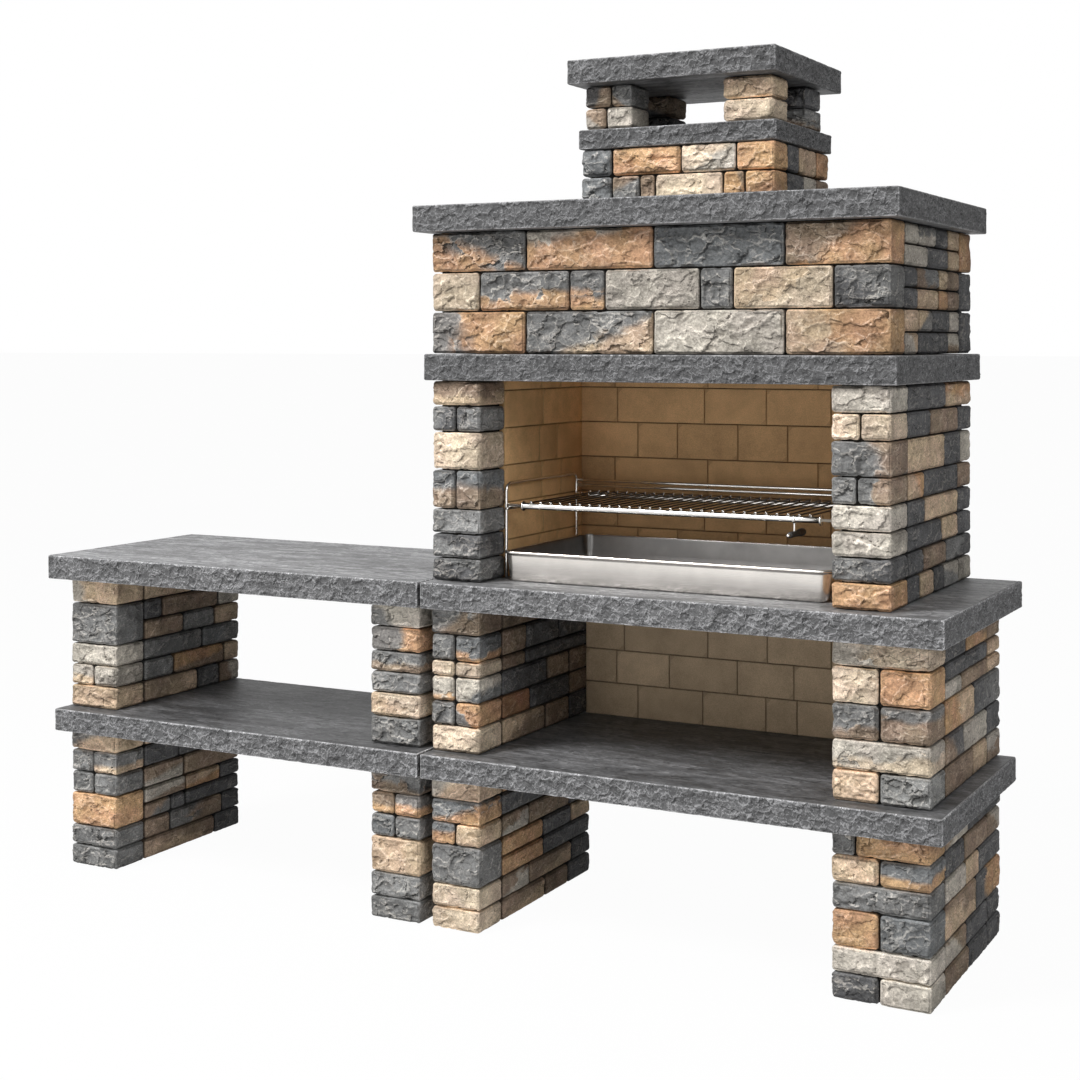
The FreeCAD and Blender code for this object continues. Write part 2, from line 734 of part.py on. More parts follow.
def pan(name, inset, lift, floor_edge):
    """A solid pan: the outline drawn out with a slope and eased along the floor."""
    body = doc.addObject("PartDesign::Body", name)
    drawn_in = f"2 * ({RIM_OUT} + {SLOPE} + {inset})"
    sides = (f"(tray_length - {drawn_in})", f"({TRAY_DEPTH} - {drawn_in})")
    outline = rounded_rectangle(body, name + "_outline", *sides, f"(tray_corner_radius - {inset})")
    pad = body.newObject("PartDesign::Pad", name + "_drawn")
    pad.Profile = outline
    bind(pad, Length="tray_height", TaperAngle="tray_draft")
    doc.recompute()
    floor = body.newObject("PartDesign::Chamfer", name + "_floor_edge")
    edges = [f"Edge{number}" for number, edge in enumerate(pad.Shape.Edges, 1) if edge.BoundBox.ZMax < 1]
    floor.Base = (pad, edges)
    bind(floor, Size=floor_edge)
    return bind(body, x=MIDDLE_X, y=TRAY_Y, z=f"{TRAY_Z} + {lift}")


def rolled_rim():
    """The bead round the top of the pan: a straight run and a corner on each of its four sides."""
    z = f"({TRAY_Z} + tray_height)"
    radius = f"(tray_corner_radius + {SLOPE} + tray_bead_stand)"
    half_x = "((tray_length - tray_bead) / 2)"
    half_y = f"(({TRAY_DEPTH} - tray_bead) / 2)"
    pieces = []
    for number, (right, back) in enumerate(CORNERS):
        x = f"{MIDDLE_X} + {right} * ({half_x} - {radius})"
        y = f"{TRAY_Y} + {back} * ({half_y} - {radius})"
        start, end, run_x, run_y, half = (
            (Y_AXIS * back, X_AXIS * right, f"{MIDDLE_X} + {right} * {half_x}", y, half_y)
            if right != back else
            (X_AXIS * right, Y_AXIS * back, x, f"{TRAY_Y} + {back} * {half_y}", half_x)
        )
        length = f"2 * ({half} - {radius})"
        pieces.append(bend(f"bead_corner{number}", start, end, (x, y, z), radius, "tray_bead"))
        pieces.append(rod(f"bead_run{number}", start * -1, run_x, run_y, z, length, "tray_bead"))
    return pieces


def charcoal_tray():
    """The pan hollowed to the thickness of its sheet, with the bead along its edge."""
    shell = doc.addObject("Part::Cut", "tray_shell")
    shell.Base = pan("tray_outside", "0", "0", "tray_floor_edge")
    shell.Tool = pan("tray_inside", WALL_IN, "tray_wall", "tray_floor_edge")
    return node("charcoal_tray", joined("charcoal_tray", [shell] + rolled_rim()))


charcoal_tray()


# Grate stand: two bent hoops on the worktop, with runners for the grate and two guard rails
STAND_X = f"({OPENING_X} + stand_wall_gap)"
STAND_RIGHT_X = f"({OPENING_X} + opening_width - stand_wall_gap)"
STAND_Y = f"({FRONT_Y} + stand_setback)"
STAND_DEPTH = f"({FIREBOX_REACH} - stand_setback - stand_back_gap)"
STAND_BACK_Y = f"({STAND_Y} + {STAND_DEPTH})"
STAND_TOP = "(worktop_height + stand_height)"
GRATE_Z = "(worktop_height + grate_height)"
RUNNER_Z = f"({GRATE_Z} - pin_diameter / 2 - seat_gap - stand_wire / 2)"


def hoop(label, x):
    """A wire bent to an upside-down U, both feet on the worktop."""
    leg = "stand_height - stand_bend"
    bend_z = f"{STAND_TOP} - stand_bend"
    pieces = [
        rod(label + "_front_leg", Z_AXIS, x, STAND_Y, "worktop_height", leg, "stand_wire"),
        rod(label + "_back_leg", Z_AXIS, x, STAND_BACK_Y, "worktop_height", leg, "stand_wire"),
        rod(
            label + "_top", Y_AXIS, x, f"{STAND_Y} + stand_bend", STAND_TOP,
            f"{STAND_DEPTH} - 2 * stand_bend", "stand_wire",
        ),
        bend(
            label + "_front_bend", Y_AXIS * -1, Z_AXIS, (x, f"{STAND_Y} + stand_bend", bend_z),
            "stand_bend", "stand_wire",
        ),
        bend(
            label + "_back_bend", Z_AXIS, Y_AXIS, (x, f"{STAND_BACK_Y} - stand_bend", bend_z),
            "stand_bend", "stand_wire",
        ),
    ]
    return node(label, joined(label, pieces))


def runner(label, x):
    """A straight bar along the inner side of a hoop, on which the grate's pins rest."""
    start = f"{STAND_Y} - runner_front_reach"
    length = f"runner_front_reach + {STAND_DEPTH} + stand_wire / 2"
    return node(label, rod(label, Y_AXIS, x, start, RUNNER_Z, length, "stand_wire"))


def guard_rail(label, drop):
    """A straight bar across the back, between the rear legs of the hoops."""
    start = f"{STAND_X} + stand_wire / 2 + seat_gap"
    length = f"{STAND_RIGHT_X} - {STAND_X} - stand_wire - 2 * seat_gap"
    z = f"{STAND_TOP} - {drop}"
    return node(label, rod(label, X_AXIS, start, STAND_BACK_Y, z, length, "stand_wire"))


hoop("left_hoop", STAND_X)
hoop("right_hoop", STAND_RIGHT_X)
runner("left_runner", f"{STAND_X} + stand_wire + seat_gap")
runner("right_runner", f"{STAND_RIGHT_X} - stand_wire - seat_gap")
guard_rail("upper_guard_rail", "upper_guard_drop")
guard_rail("lower_guard_rail", "lower_guard_drop")


# Grate: two tubes with collars and pin ends, and wires laid across them
GRATE_Y = f"({FRONT_Y} + grate_setback)"
GRATE_REACH = f"({STAND_BACK_Y} - grate_back_gap - {GRATE_Y})"
PIN_HALF = "(opening_width / 2 - stand_wall_gap - stand_wire / 2 - pin_side_gap)"
TUBE_HALF = f"({PIN_HALF} - collar_ring_inset)"


def cross_bar(label, y):
    """A stout round bar with thin pins that rest on the runners and a collar at each end."""
    def span(name, half, length, diameter):
        start = f"{MIDDLE_X} - {half}"
        return rod(f"{label}_{name}", X_AXIS, start, y, GRATE_Z, length, diameter, STOUT_BAR_FLAT_COUNT)

    tube_x = f"{MIDDLE_X} - {TUBE_HALF}"
    collar = ("collar_ring_width", "collar_ring_diameter")
    pieces = [
        turned(label + "_tube", X_AXIS, tube_x, y, GRATE_Z, f"2 * {TUBE_HALF}", "tube_diameter"),
        span("pins", PIN_HALF, f"2 * {PIN_HALF}", "pin_diameter"),
        span("left_collar", f"({TUBE_HALF} + collar_ring_width / 2)", *collar),
        span("right_collar", f"(collar_ring_width / 2 - {TUBE_HALF})", *collar),
    ]
    return node(label, joined(label, pieces))


def wire_count():
    """Wires that fit between the collars at the set pitch."""
    return int(value(f"2 * {TUBE_HALF} - collar_ring_diameter") // value("grate_wire_pitch")) + 1


def grate_wires():
    """Straight wires from the front bar to the back bar, lying on both."""
    z = f"{GRATE_Z} + tube_diameter / 2 + seat_gap + grate_wire / 2"
    start = f"{GRATE_Y} - grate_wire_overhang"
    length = f"{GRATE_REACH} + 2 * grate_wire_overhang"
    count = wire_count()
    pieces = []
    for number in range(count):
        x = f"{MIDDLE_X} + ({number} - {count - 1} / 2) * grate_wire_pitch"
        name = f"grate_wire{number}"
        pieces.append(rod(name, Y_AXIS, x, start, z, length, "grate_wire", THIN_WIRE_FLAT_COUNT))
    return group("grate_wires", pieces)


cross_bar("grate_front_bar", GRATE_Y)
cross_bar("grate_back_bar", f"({GRATE_Y} + {GRATE_REACH})")
grate_wires()


# Drop handle: a wire that turns on the front bar, a grip on its arm and a steel tip
def gap_between_wires(offset):
    """Distance from the middle to the gap between two wires that is nearest to an offset."""
    odd = wire_count() % 2 / 2
    gaps = round(value(f"{offset} / grate_wire_pitch") - odd) + odd
    return f"({gaps} * grate_wire_pitch)"


HANDLE_X = f"({MIDDLE_X} + {gap_between_wires('handle_offset')})"
EYE_LENGTH = "(handle_wire + 2 * handle_eye_shoulder)"
GRIP_Z = f"({GRATE_Z} - handle_drop)"
GRIP_FRONT_Y = f"({GRATE_Y} - grip_front_length)"


def handle_wire():
    """An eye that turns on the front bar, and the arm that carries the grip."""
    inner = "tube_diameter + 2 * running_gap"
    outer = f"{inner} + 2 * handle_eye_wall"
    eye_x = f"{HANDLE_X} - {EYE_LENGTH} / 2"
    ring = rod("eye_ring", X_AXIS, eye_x, GRATE_Y, GRATE_Z, EYE_LENGTH, outer, STOUT_BAR_FLAT_COUNT)
    bore = turned("eye_bore", X_AXIS, eye_x, GRATE_Y, GRATE_Z, EYE_LENGTH, inner)
    arm_length = "handle_drop - tube_diameter / 2"
    arm = rod("handle_arm", Z_AXIS, HANDLE_X, GRATE_Y, GRIP_Z, arm_length, "handle_wire")
    item = doc.addObject("Part::Cut", "handle_wire")
    item.Base = joined("handle_wire_solid", [ring, arm])
    item.Tool = bore
    return node("handle_wire", item)


def handle_grip():
    """A grip with flats and a stout rear end, with a socket for the arm."""
    rear_y = f"{GRIP_FRONT_Y} + grip_length - grip_rear_length"
    body = joined("grip_body", [
        rod(
            "grip_barrel", Y_AXIS, HANDLE_X, GRIP_FRONT_Y, GRIP_Z,
            "grip_length", "grip_front_diameter", STOUT_BAR_FLAT_COUNT,
        ),
        rod(
            "grip_rear", Y_AXIS, HANDLE_X, rear_y, GRIP_Z,
            "grip_rear_length", "grip_rear_diameter", STOUT_BAR_FLAT_COUNT,
        ),
    ])
    socket = rod(
        "grip_socket", Z_AXIS, HANDLE_X, GRATE_Y, f"{GRIP_Z} - seat_gap",
        "grip_front_diameter", "handle_wire + 2 * seat_gap",
    )
    item = doc.addObject("Part::Cut", "handle_grip")
    item.Base = body
    item.Tool = socket
    return node("handle_grip", item)


handle_wire()
handle_grip()
TIP_Y = f"{GRIP_FRONT_Y} - tip_length"
node(
    "handle_tip",
    rod("handle_tip", Y_AXIS, HANDLE_X, TIP_Y, GRIP_Z, "tip_length", "tip_diameter", STOUT_BAR_FLAT_COUNT),
)


# Every feature has to be sound before anything is written
def faults():
    """Names of features that failed and of sub-parts without a sound solid."""
    failed = [item.Name for item in doc.Objects if {"Invalid", "Error"} & set(item.State)]
    hollow = [
        item.Label for item in nodes
        if item.Shape.isNull() or not item.Shape.isValid() or not item.Shape.Solids
    ]
    return failed + hollow


doc.recompute()
if faults():
    raise RuntimeError("not sound: " + ", ".join(faults()))
os.makedirs("parts", exist_ok=True)
for item in nodes:
    item.Shape.exportStep(os.path.join("parts", item.Label + ".step"))
print(len(nodes), "sub-parts,", sum(len(item.Shape.Solids) for item in nodes), "solids")
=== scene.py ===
import bpy
import bmesh
import math
import numpy as np
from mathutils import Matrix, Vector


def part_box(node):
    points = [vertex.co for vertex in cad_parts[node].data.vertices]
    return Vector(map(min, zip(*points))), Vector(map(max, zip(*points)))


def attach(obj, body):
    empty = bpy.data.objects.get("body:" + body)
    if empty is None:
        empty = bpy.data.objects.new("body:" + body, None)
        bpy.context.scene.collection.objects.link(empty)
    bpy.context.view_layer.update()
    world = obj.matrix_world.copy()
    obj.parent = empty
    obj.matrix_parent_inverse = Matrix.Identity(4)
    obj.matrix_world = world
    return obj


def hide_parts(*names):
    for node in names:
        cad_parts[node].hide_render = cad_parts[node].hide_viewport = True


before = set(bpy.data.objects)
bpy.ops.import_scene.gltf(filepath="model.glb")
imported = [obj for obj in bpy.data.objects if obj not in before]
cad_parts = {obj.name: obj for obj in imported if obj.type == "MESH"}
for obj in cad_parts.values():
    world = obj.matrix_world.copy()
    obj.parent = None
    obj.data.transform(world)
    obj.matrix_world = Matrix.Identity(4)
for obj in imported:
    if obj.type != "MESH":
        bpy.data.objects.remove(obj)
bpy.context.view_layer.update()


# Piers
# Four piers carry the slabs, each below and above its shelf: blocks of sandstone and slate, sawn on their
# beds and split with a hammer on their faces, bedded on mortar that stops short of the face and is near black
# as painted shade.
def shade(red, green, blue):
    """A colour as a screen shows it, 0 to 255, turned into the linear colour that a shader takes."""
    parts = [part / 255 for part in (red, green, blue)]
    linear = [part / 12.92 if part <= 0.04045 else ((part + 0.055) / 1.055) ** 2.4 for part in parts]
    return (*linear, 1.0)


# Kinds of stone by letter: slate, black slate, blue slate, ash, tan, cream, ochre, light grey, brown, rust
STONE_COLOURS = {
    "S": shade(122, 122, 121), "K": shade(93, 93, 94), "B": shade(116, 118, 119),
    "A": shade(150, 150, 148), "T": shade(198, 175, 148), "C": shade(207, 189, 166),
    "O": shade(189, 153, 117), "G": shade(184, 177, 166), "N": shade(144, 126, 108),
    "R": shade(154, 116, 88),
}
SLATES = "SKBA"


def blocks_of(name):
    """Lowest and highest corner of every separate block in a node of the frame."""
    same_spot = 2e-5
    bm = bmesh.new()
    bm.from_mesh(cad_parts[name].data)
    bmesh.ops.remove_doubles(bm, verts=bm.verts, dist=same_spot)
    blocks, seen = [], set()
    for first in bm.verts:
        if first in seen:
            continue
        seen.add(first)
        queue, spots = [first], []
        while queue:
            vert = queue.pop()
            spots.append(vert.co[:])
            for edge in vert.link_edges:
                other = edge.other_vert(vert)
                if other not in seen:
                    seen.add(other)
                    queue.append(other)
        blocks.append((np.min(spots, 0), np.max(spots, 0)))
    bm.free()
    return blocks


def bed_height(block):
    """Height of a block's bed to the millimetre, so that the blocks of one course sort together."""
    return round(float(block[0][2]), 3)


def pier_order(name):
    """Blocks of a pier, lift by lift from below: front stones from the left, side rows from the front."""
    near = 0.001
    blocks = blocks_of(name)
    face = min(lo[1] for lo, hi in blocks) + near
    fronts = [block for block in blocks if block[0][1] < face]
    sides = [block for block in blocks if block[0][1] >= face]
    lifts = []
    for low in sorted({bed_height(block) for block in fronts}):
        row = sorted((b for b in fronts if abs(b[0][2] - low) < near), key=lambda b: b[0][0])
        top = row[0][1][2]
        behind = [b for b in sides if low < (b[0][2] + b[1][2]) / 2 < top]
        lifts.append((row, sorted(behind, key=lambda b: (bed_height(b), b[0][1]))))
    return lifts


# The way out of a block's front, right, back and left side
OUTWARD = np.array(((0.0, -1.0), (1.0, 0.0), (0.0, 1.0), (-1.0, 0.0)))
CORNER_TURNS = (0.25, 0.5, 0.75)
ARRIS_TURNS = np.radians((20, 45, 68))


def block_grid(lo, hi, edge, cells, rise, rock, caps=()):
    """A block with rounded edges as rows of points from its bed to its top, wound round its four sides.

    Returns the points row by row, the way each one faces, how far it is from the nearest edge, and how
    rough its side is. Caps are further rings on the bed and the top, by their distance from the sides.
    """
    ring_gap = 0.0002
    half, middle, tall = (hi - lo) / 2, (hi + lo) / 2, hi[2] - lo[2]
    spine, out, near, rough = [], [], [], []
    for side in range(4):
        ahead, along = OUTWARD[side], OUTWARD[(side + 1) % 4]
        run, reach = (half[0], half[1]) if side % 2 == 0 else (half[1], half[0])
        steps = max(1, round(2 * (run - edge) / cells[side]))
        for place in np.linspace(edge - run, run - edge, steps + 1):
            spine.append(place * along + (reach - edge) * ahead)
            out.append(ahead)
            near.append(run - abs(place))
            rough.append(rock[side])
        for turn in CORNER_TURNS:
            angle = math.radians(90 * turn)
            spine.append((run - edge) * along + (reach - edge) * ahead)
            out.append(math.cos(angle) * ahead + math.sin(angle) * along)
            near.append(edge * 0.5)
            rough.append((1 - turn) * rock[side] + turn * rock[(side + 1) % 4])
    spine, out, near, rough = (np.array(part) for part in (spine, out, near, rough))
    lower = [(edge * (1 - np.sin(a)), edge * (1 - np.cos(a)), np.sin(a), -np.cos(a)) for a in ARRIS_TURNS]
    steps = max(1, round((tall - 2 * edge) / rise))
    wall = [(0, height, 1, 0) for height in np.linspace(edge, tall - edge, steps + 1)]
    upper = [(inset, tall - height, flat, -up) for inset, height, flat, up in reversed(lower)]
    bed = [(inset, 0.0, 0.0, -1.0) for inset in reversed(caps)]
    roof = [(inset, tall, 0.0, 1.0) for inset in caps]
    points, facing, rim, rocky = [], [], [], []
    core = half[:2] - edge
    for inset, height, flat, up in bed + lower + wall + upper + roof:
        if inset > edge:
            flat_points = spine * ((half[:2] - inset) / core) + out * ring_gap
            rim.append(np.full(len(spine), inset))
        else:
            flat_points = spine + out * (edge - inset)
            rim.append(np.minimum(near, min(height, tall - height)))
        points.append(np.column_stack((flat_points, np.full(len(spine), height - tall / 2))) + middle)
        facing.append(np.column_stack((out * flat, np.full(len(spine), up))))
        rocky.append(rough * flat)
    return [np.array(part) for part in (points, facing, rim, rocky)]


def grid_faces(rows, columns, start):
    """Faces of a wound grid of points, closed at its bed and its top."""
    index = np.arange(rows * columns).reshape(rows, columns) + start
    after = np.roll(index, -1, axis=1)
    quads = np.stack((index[:-1], after[:-1], after[1:], index[1:]), axis=-1).reshape(-1, 4).tolist()
    return quads + [index[0, ::-1].tolist(), index[-1].tolist()]


def set_inputs(tree, node, inputs):
    """Join a node's inputs to sockets, or set them to values."""
    for key, source in inputs.items():
        if isinstance(source, bpy.types.NodeSocket):
            tree.links.new(source, node.inputs[key])
        else:
            node.inputs[key].default_value = source


def add_node(tree, kind, inputs=None, **settings):
    """A new node with its settings and its inputs."""
    node = tree.nodes.new(kind)
    for key, setting in settings.items():
        setattr(node, key, setting)
    set_inputs(tree, node, inputs or {})
    return node


def reckon(tree, operation, *terms):
    """One step of arithmetic in a node tree."""
    return add_node(tree, "ShaderNodeMath", dict(enumerate(terms)), operation=operation).outputs[0]


def product(tree, *terms):
    """Several values multiplied."""
    total = terms[0]
    for term in terms[1:]:
        total = reckon(tree, "MULTIPLY", total, term)
    return total


def one_and(tree, amount, *shares):
    """One, and an amount more or less where the shares are high."""
    return reckon(tree, "MULTIPLY_ADD", product(tree, *shares), amount, 1.0)


def combine(tree, operation, first, second):
    """One step of arithmetic with coordinates in a node tree."""
    inputs = {0: first, "Scale" if operation == "SCALE" else 1: second}
    node = add_node(tree, "ShaderNodeVectorMath", inputs, operation=operation)
    return node.outputs["Value" if operation == "DOT_PRODUCT" else "Vector"]


def ramp(tree, source, low, high, start=0.0, end=1.0):
    """A smooth rise from start to end while the source goes from low to high."""
    inputs = {"Value": source, "From Min": low, "From Max": high, "To Min": start, "To Max": end}
    return add_node(tree, "ShaderNodeMapRange", inputs, interpolation_type="SMOOTHSTEP").outputs[0]


def noise(tree, place, scale, detail=2.0, rough=0.5, warp=0.0):
    """Cloudy noise from 0 to 1 at so many features a metre."""
    inputs = {"Vector": place, "Scale": scale, "Detail": detail, "Roughness": rough, "Distortion": warp}
    return add_node(tree, "ShaderNodeTexNoise", inputs).outputs[0]


def wandering(tree, place, scale, reach):
    """Coordinates pushed about by cloudy noise."""
    inputs = {"Vector": place, "Scale": scale, "Detail": 3.0, "Roughness": 0.6}
    clouds = add_node(tree, "ShaderNodeTexNoise", inputs).outputs["Color"]
    return combine(tree, "ADD", place, combine(tree, "SCALE", clouds, reach))


# Large and small facets: how much finer than the facet size, their share of the height, how wide a ridge
FACET_KINDS = ((1.0, 0.66, 0.07), (2.5, 0.34, 0.12))


def facets(tree, place, size):
    """Facets left by splitting, for a shape and for its finish: height, a chance for each, and ridges.

    Large facets carry small ones. Each is a shallow scallop that tilts its own way, so that sharp ridges
    part them.
    """
    level, lean, stagger, scallop = 0.38, 1.6, 0.6, 0.9
    per_metre = reckon(tree, "DIVIDE", 1.0, size)
    bends, bend_reach = reckon(tree, "MULTIPLY", per_metre, 1.3), reckon(tree, "MULTIPLY", size, 1.1)
    bent = wandering(tree, place, bends, bend_reach)
    height, ridges, chances = level, [], []
    for finer, share, wide in FACET_KINDS:
        scale = reckon(tree, "MULTIPLY", per_metre, finer)
        inputs = {"Vector": bent, "Scale": scale}
        cell = add_node(tree, "ShaderNodeTexVoronoi", inputs).outputs
        border = add_node(tree, "ShaderNodeTexVoronoi", inputs, feature="DISTANCE_TO_EDGE").outputs
        ridges.append(ramp(tree, border["Distance"], 0.0, wide, share ** 0.5, 0.0))
        chances.append(add_node(tree, "ShaderNodeTexWhiteNoise", {"Vector": cell["Color"]}).outputs["Value"])
        from_middle = combine(tree, "SUBTRACT", bent, cell["Position"])
        tilt = combine(tree, "ADD", cell["Color"], (-0.5, -0.5, -0.5))
        slope = reckon(tree, "MULTIPLY", combine(tree, "DOT_PRODUCT", from_middle, tilt), scale)
        step = reckon(tree, "MULTIPLY_ADD", chances[-1], stagger, -stagger / 2)
        tilted = reckon(tree, "MULTIPLY_ADD", slope, lean, step)
        part = reckon(tree, "MULTIPLY_ADD", reckon(tree, "POWER", cell["Distance"], 2.0), scallop, tilted)
        height = reckon(tree, "MULTIPLY_ADD", part, share, height)
    return height, chances[0], reckon(tree, "MAXIMUM", *ridges)


def painted_lips_and_shadows(tree, place, size, reach):
    """Height and chance of the facets, with a painted highlight on their upper lips and a painted shadow in
    the hollows under them, each from 0 to 1.
    """
    height, chance, ridge = facets(tree, place, size)
    # Painted light from above left: a point higher than the facets a little towards the light gets a painted
    # highlight, a lower one a painted shadow.
    to_light = tuple(reach * part for part in (-0.35, -0.35, 0.87))
    above = facets(tree, combine(tree, "ADD", place, to_light), size)[0]
    rise = reckon(tree, "SUBTRACT", height, above)
    broken_off = ramp(tree, noise(tree, place, 0.9 / size, 2.0), 0.38, 0.55)
    ridge = product(tree, ridge, broken_off, ramp(tree, rise, -0.1, 0.02))
    painted_lip_highlight = reckon(tree, "MAXIMUM", ridge, ramp(tree, rise, 0.05, 0.22))
    return height, chance, painted_lip_highlight, ramp(tree, rise, -0.28, -0.06, 1.0, 0.0)


def new_tree(name, inputs):
    """A Geometry Nodes tree that gives a geometry, and the sockets of its named inputs."""
    tree = bpy.data.node_groups.new(name, "GeometryNodeTree")
    for label, kind in inputs.items():
        tree.interface.new_socket(label, in_out="INPUT", socket_type="NodeSocket" + kind)
    tree.interface.new_socket("Geometry", in_out="OUTPUT", socket_type="NodeSocketGeometry")
    return tree, add_node(tree, "NodeGroupInput").outputs


def split_face_tree():
    """Geometry Nodes that split a sawn face: facets, nicked edges and grain, out or in at each point."""
    sawn_level, highest, deepest = 0.72, 0.004, -0.011
    facet_rim, nick_rim = 0.011, 0.012
    nicks_per_metre, grains_per_metre = 42.0, 170.0
    tree, given = new_tree("split_face", {
        "Geometry": "Geometry", "Facet height": "Float", "Facet size": "Float",
        "Nick depth": "Float", "Grain depth": "Float", "Material": "Material",
    })

    def read(name, kind="FLOAT"):
        return add_node(tree, "GeometryNodeInputNamedAttribute", {"Name": name}, data_type=kind).outputs[0]

    place, rim, rock = read("grain", "FLOAT_VECTOR"), read("rim"), read("rock")
    height = facets(tree, place, given["Facet size"])[0]
    relief = product(tree, reckon(tree, "SUBTRACT", height, sawn_level), given["Facet height"])
    relief = reckon(tree, "MAXIMUM", reckon(tree, "MINIMUM", relief, highest), deepest)
    relief = product(tree, relief, ramp(tree, rim, 0.0, facet_rim), rock)
    chipped = ramp(tree, noise(tree, place, nicks_per_metre, 2.0), 0.5, 0.72)
    nicks = product(tree, chipped, ramp(tree, rim, 0.0, nick_rim, -1.0, 0.0), given["Nick depth"])
    sandy = reckon(tree, "SUBTRACT", noise(tree, place, grains_per_metre, 3.0, 0.6), 0.5)
    grain = product(tree, sandy, given["Grain depth"])
    rough = reckon(tree, "MINIMUM", reckon(tree, "MULTIPLY", rock, 2.0), 1.0)
    push = reckon(tree, "MULTIPLY_ADD", reckon(tree, "ADD", nicks, grain), rough, relief)
    offset = combine(tree, "SCALE", read("outward", "FLOAT_VECTOR"), push)
    moves = {"Geometry": given["Geometry"], "Offset": offset}
    shape = add_node(tree, "GeometryNodeSetPosition", moves).outputs[0]
    shape = add_node(tree, "GeometryNodeRealizeInstances", {0: shape}).outputs[0]
    shape = add_node(tree, "GeometryNodeSetMaterial", {0: shape, "Material": given["Material"]}).outputs[0]
    add_node(tree, "NodeGroupOutput", {0: shape})
    return tree


split_face = split_face_tree()


def shader_tree(name):
    """A new material, its node tree and its Principled shader."""
    material = bpy.data.materials.new(name)
    material.use_nodes = True
    return material, material.node_tree, material.node_tree.nodes["Principled BSDF"]


def attribute(tree, name, output="Fac"):
    """A value that the mesh carries."""
    return add_node(tree, "ShaderNodeAttribute", attribute_name=name).outputs[output]


def blended(tree, share, first, second):
    """Two colours mixed by a share."""
    return add_node(tree, "ShaderNodeMix", {0: share, 6: first, 7: second}, data_type="RGBA").outputs[2]


def toned(tree, colour, value, hue=0.5):
    """A colour made lighter or darker by a value, and turned where the hue isn't a half."""
    inputs = {"Hue": hue, "Value": value, "Color": colour}
    return add_node(tree, "ShaderNodeHueSaturation", inputs).outputs[0]


def bumped(tree, height, strength, distance):
    """The way that a surface faces once a height has roughened it."""
    inputs = {"Strength": strength, "Distance": distance, "Height": height}
    return add_node(tree, "ShaderNodeBump", inputs).outputs[0]


FACET_HEIGHT, FACET_SIZE = 0.017, 0.068


def split_stone_material():
    """Split stone: its own colour, stains that end at facets, painted highlights on the lips, painted shadows
    in the hollows, and a sandy grain.
    """
    lip_reach, sawn_rim = 0.004, 0.007
    lip_highlight_colour = shade(206, 198, 186)
    material, tree, shader = shader_tree("split_stone")
    place, rim, rock = attribute(tree, "grain", "Vector"), attribute(tree, "rim"), attribute(tree, "rock")
    height, chance, painted_lip_highlight, painted_hollow_shadow = painted_lips_and_shadows(tree, place, FACET_SIZE, lip_reach)
    split = reckon(tree, "MULTIPLY_ADD", rock, 0.7, 0.3)
    face = reckon(tree, "MULTIPLY", ramp(tree, rim, 0.0, sawn_rim), split)
    edge = reckon(tree, "ADD", noise(tree, place, 15.0, 4.0, 0.55), attribute(tree, "patch"))
    stained = ramp(tree, reckon(tree, "MULTIPLY_ADD", chance, 0.7, edge), 0.6, 1.1, 0.0, 0.95)
    colour = blended(tree, stained, attribute(tree, "tint", "Color"), attribute(tree, "stain", "Color"))
    # Painted highlight: the lips of the facets are mixed towards a pale colour.
    colour = blended(tree, product(tree, painted_lip_highlight, face, 0.22), colour, lip_highlight_colour)
    # Painted highlight: a pale line along the rounded edges, fainter on the faces that look sideways.
    outward = attribute(tree, "outward", "Vector")
    sideways = add_node(tree, "ShaderNodeSeparateXYZ", {0: outward}).outputs["X"]
    flank = ramp(tree, reckon(tree, "ABSOLUTE", sideways), 0.55, 0.95)
    arris = ramp(tree, rim, 0.001, 0.0055, 1.0, 0.0)
    painted_edge_highlight = product(tree, arris, noise(tree, place, 60.0, 2.0), one_and(tree, -0.8, flank))
    clouds = ramp(tree, noise(tree, place, 18.0, 4.0, 0.6), 0.28, 0.72, 0.74, 1.2)
    sand = ramp(tree, noise(tree, place, 210.0, 4.0, 0.75), 0.25, 0.75, 0.6, 1.4)
    # Painted shade in the joints: the hidden sides of each stone and the turns into them are darkened.
    painted_joint_shade = ramp(tree, rock, 0.08, 0.27, 0.2, 1.0)
    # The lips are made paler and the hollows darker, as painted highlight and painted shadow.
    value = product(tree, clouds, sand, one_and(tree, 0.52, painted_lip_highlight, face), one_and(tree, -0.58, painted_hollow_shadow, face),
                    one_and(tree, 1.25, painted_edge_highlight), painted_joint_shade)
    hue = ramp(tree, noise(tree, place, 13.0, 2.0), 0.3, 0.7, 0.490, 0.506)
    coarse = reckon(tree, "MULTIPLY", noise(tree, place, 60.0, 3.0, 0.6, 0.5), 0.14)
    pits = reckon(tree, "MULTIPLY_ADD", noise(tree, place, 210.0, 4.0, 0.7), 0.12, coarse)
    carved = reckon(tree, "MULTIPLY_ADD", height, face, pits)
    set_inputs(tree, shader, {
        "Base Color": toned(tree, colour, value, hue), "Roughness": 0.86, "Specular IOR Level": 0.25,
        "Normal": bumped(tree, carved, 0.9, FACET_HEIGHT),
    })
    return material


def joint_shade_mortar_material():
    """Bedding mortar with a sandy grain, near black as painted shade for the deep joints."""
    material, tree, shader = shader_tree("joint_shade_mortar")
    place = add_node(tree, "ShaderNodeTexCoord").outputs["Object"]
    sand = ramp(tree, noise(tree, place, 240.0, 4.0), 0.3, 0.7)
    colour = blended(tree, sand, shade(30, 28, 26), shade(52, 48, 44))
    set_inputs(tree, shader, {"Base Color": colour, "Roughness": 0.95})
    return material


split_stone, joint_shade_mortar = split_stone_material(), joint_shade_mortar_material()
PATCH_SIDES = {"<": (-1.0, 0.0), ">": (1.0, 0.0), "^": (0.0, 1.0), "v": (0.0, -1.0)}


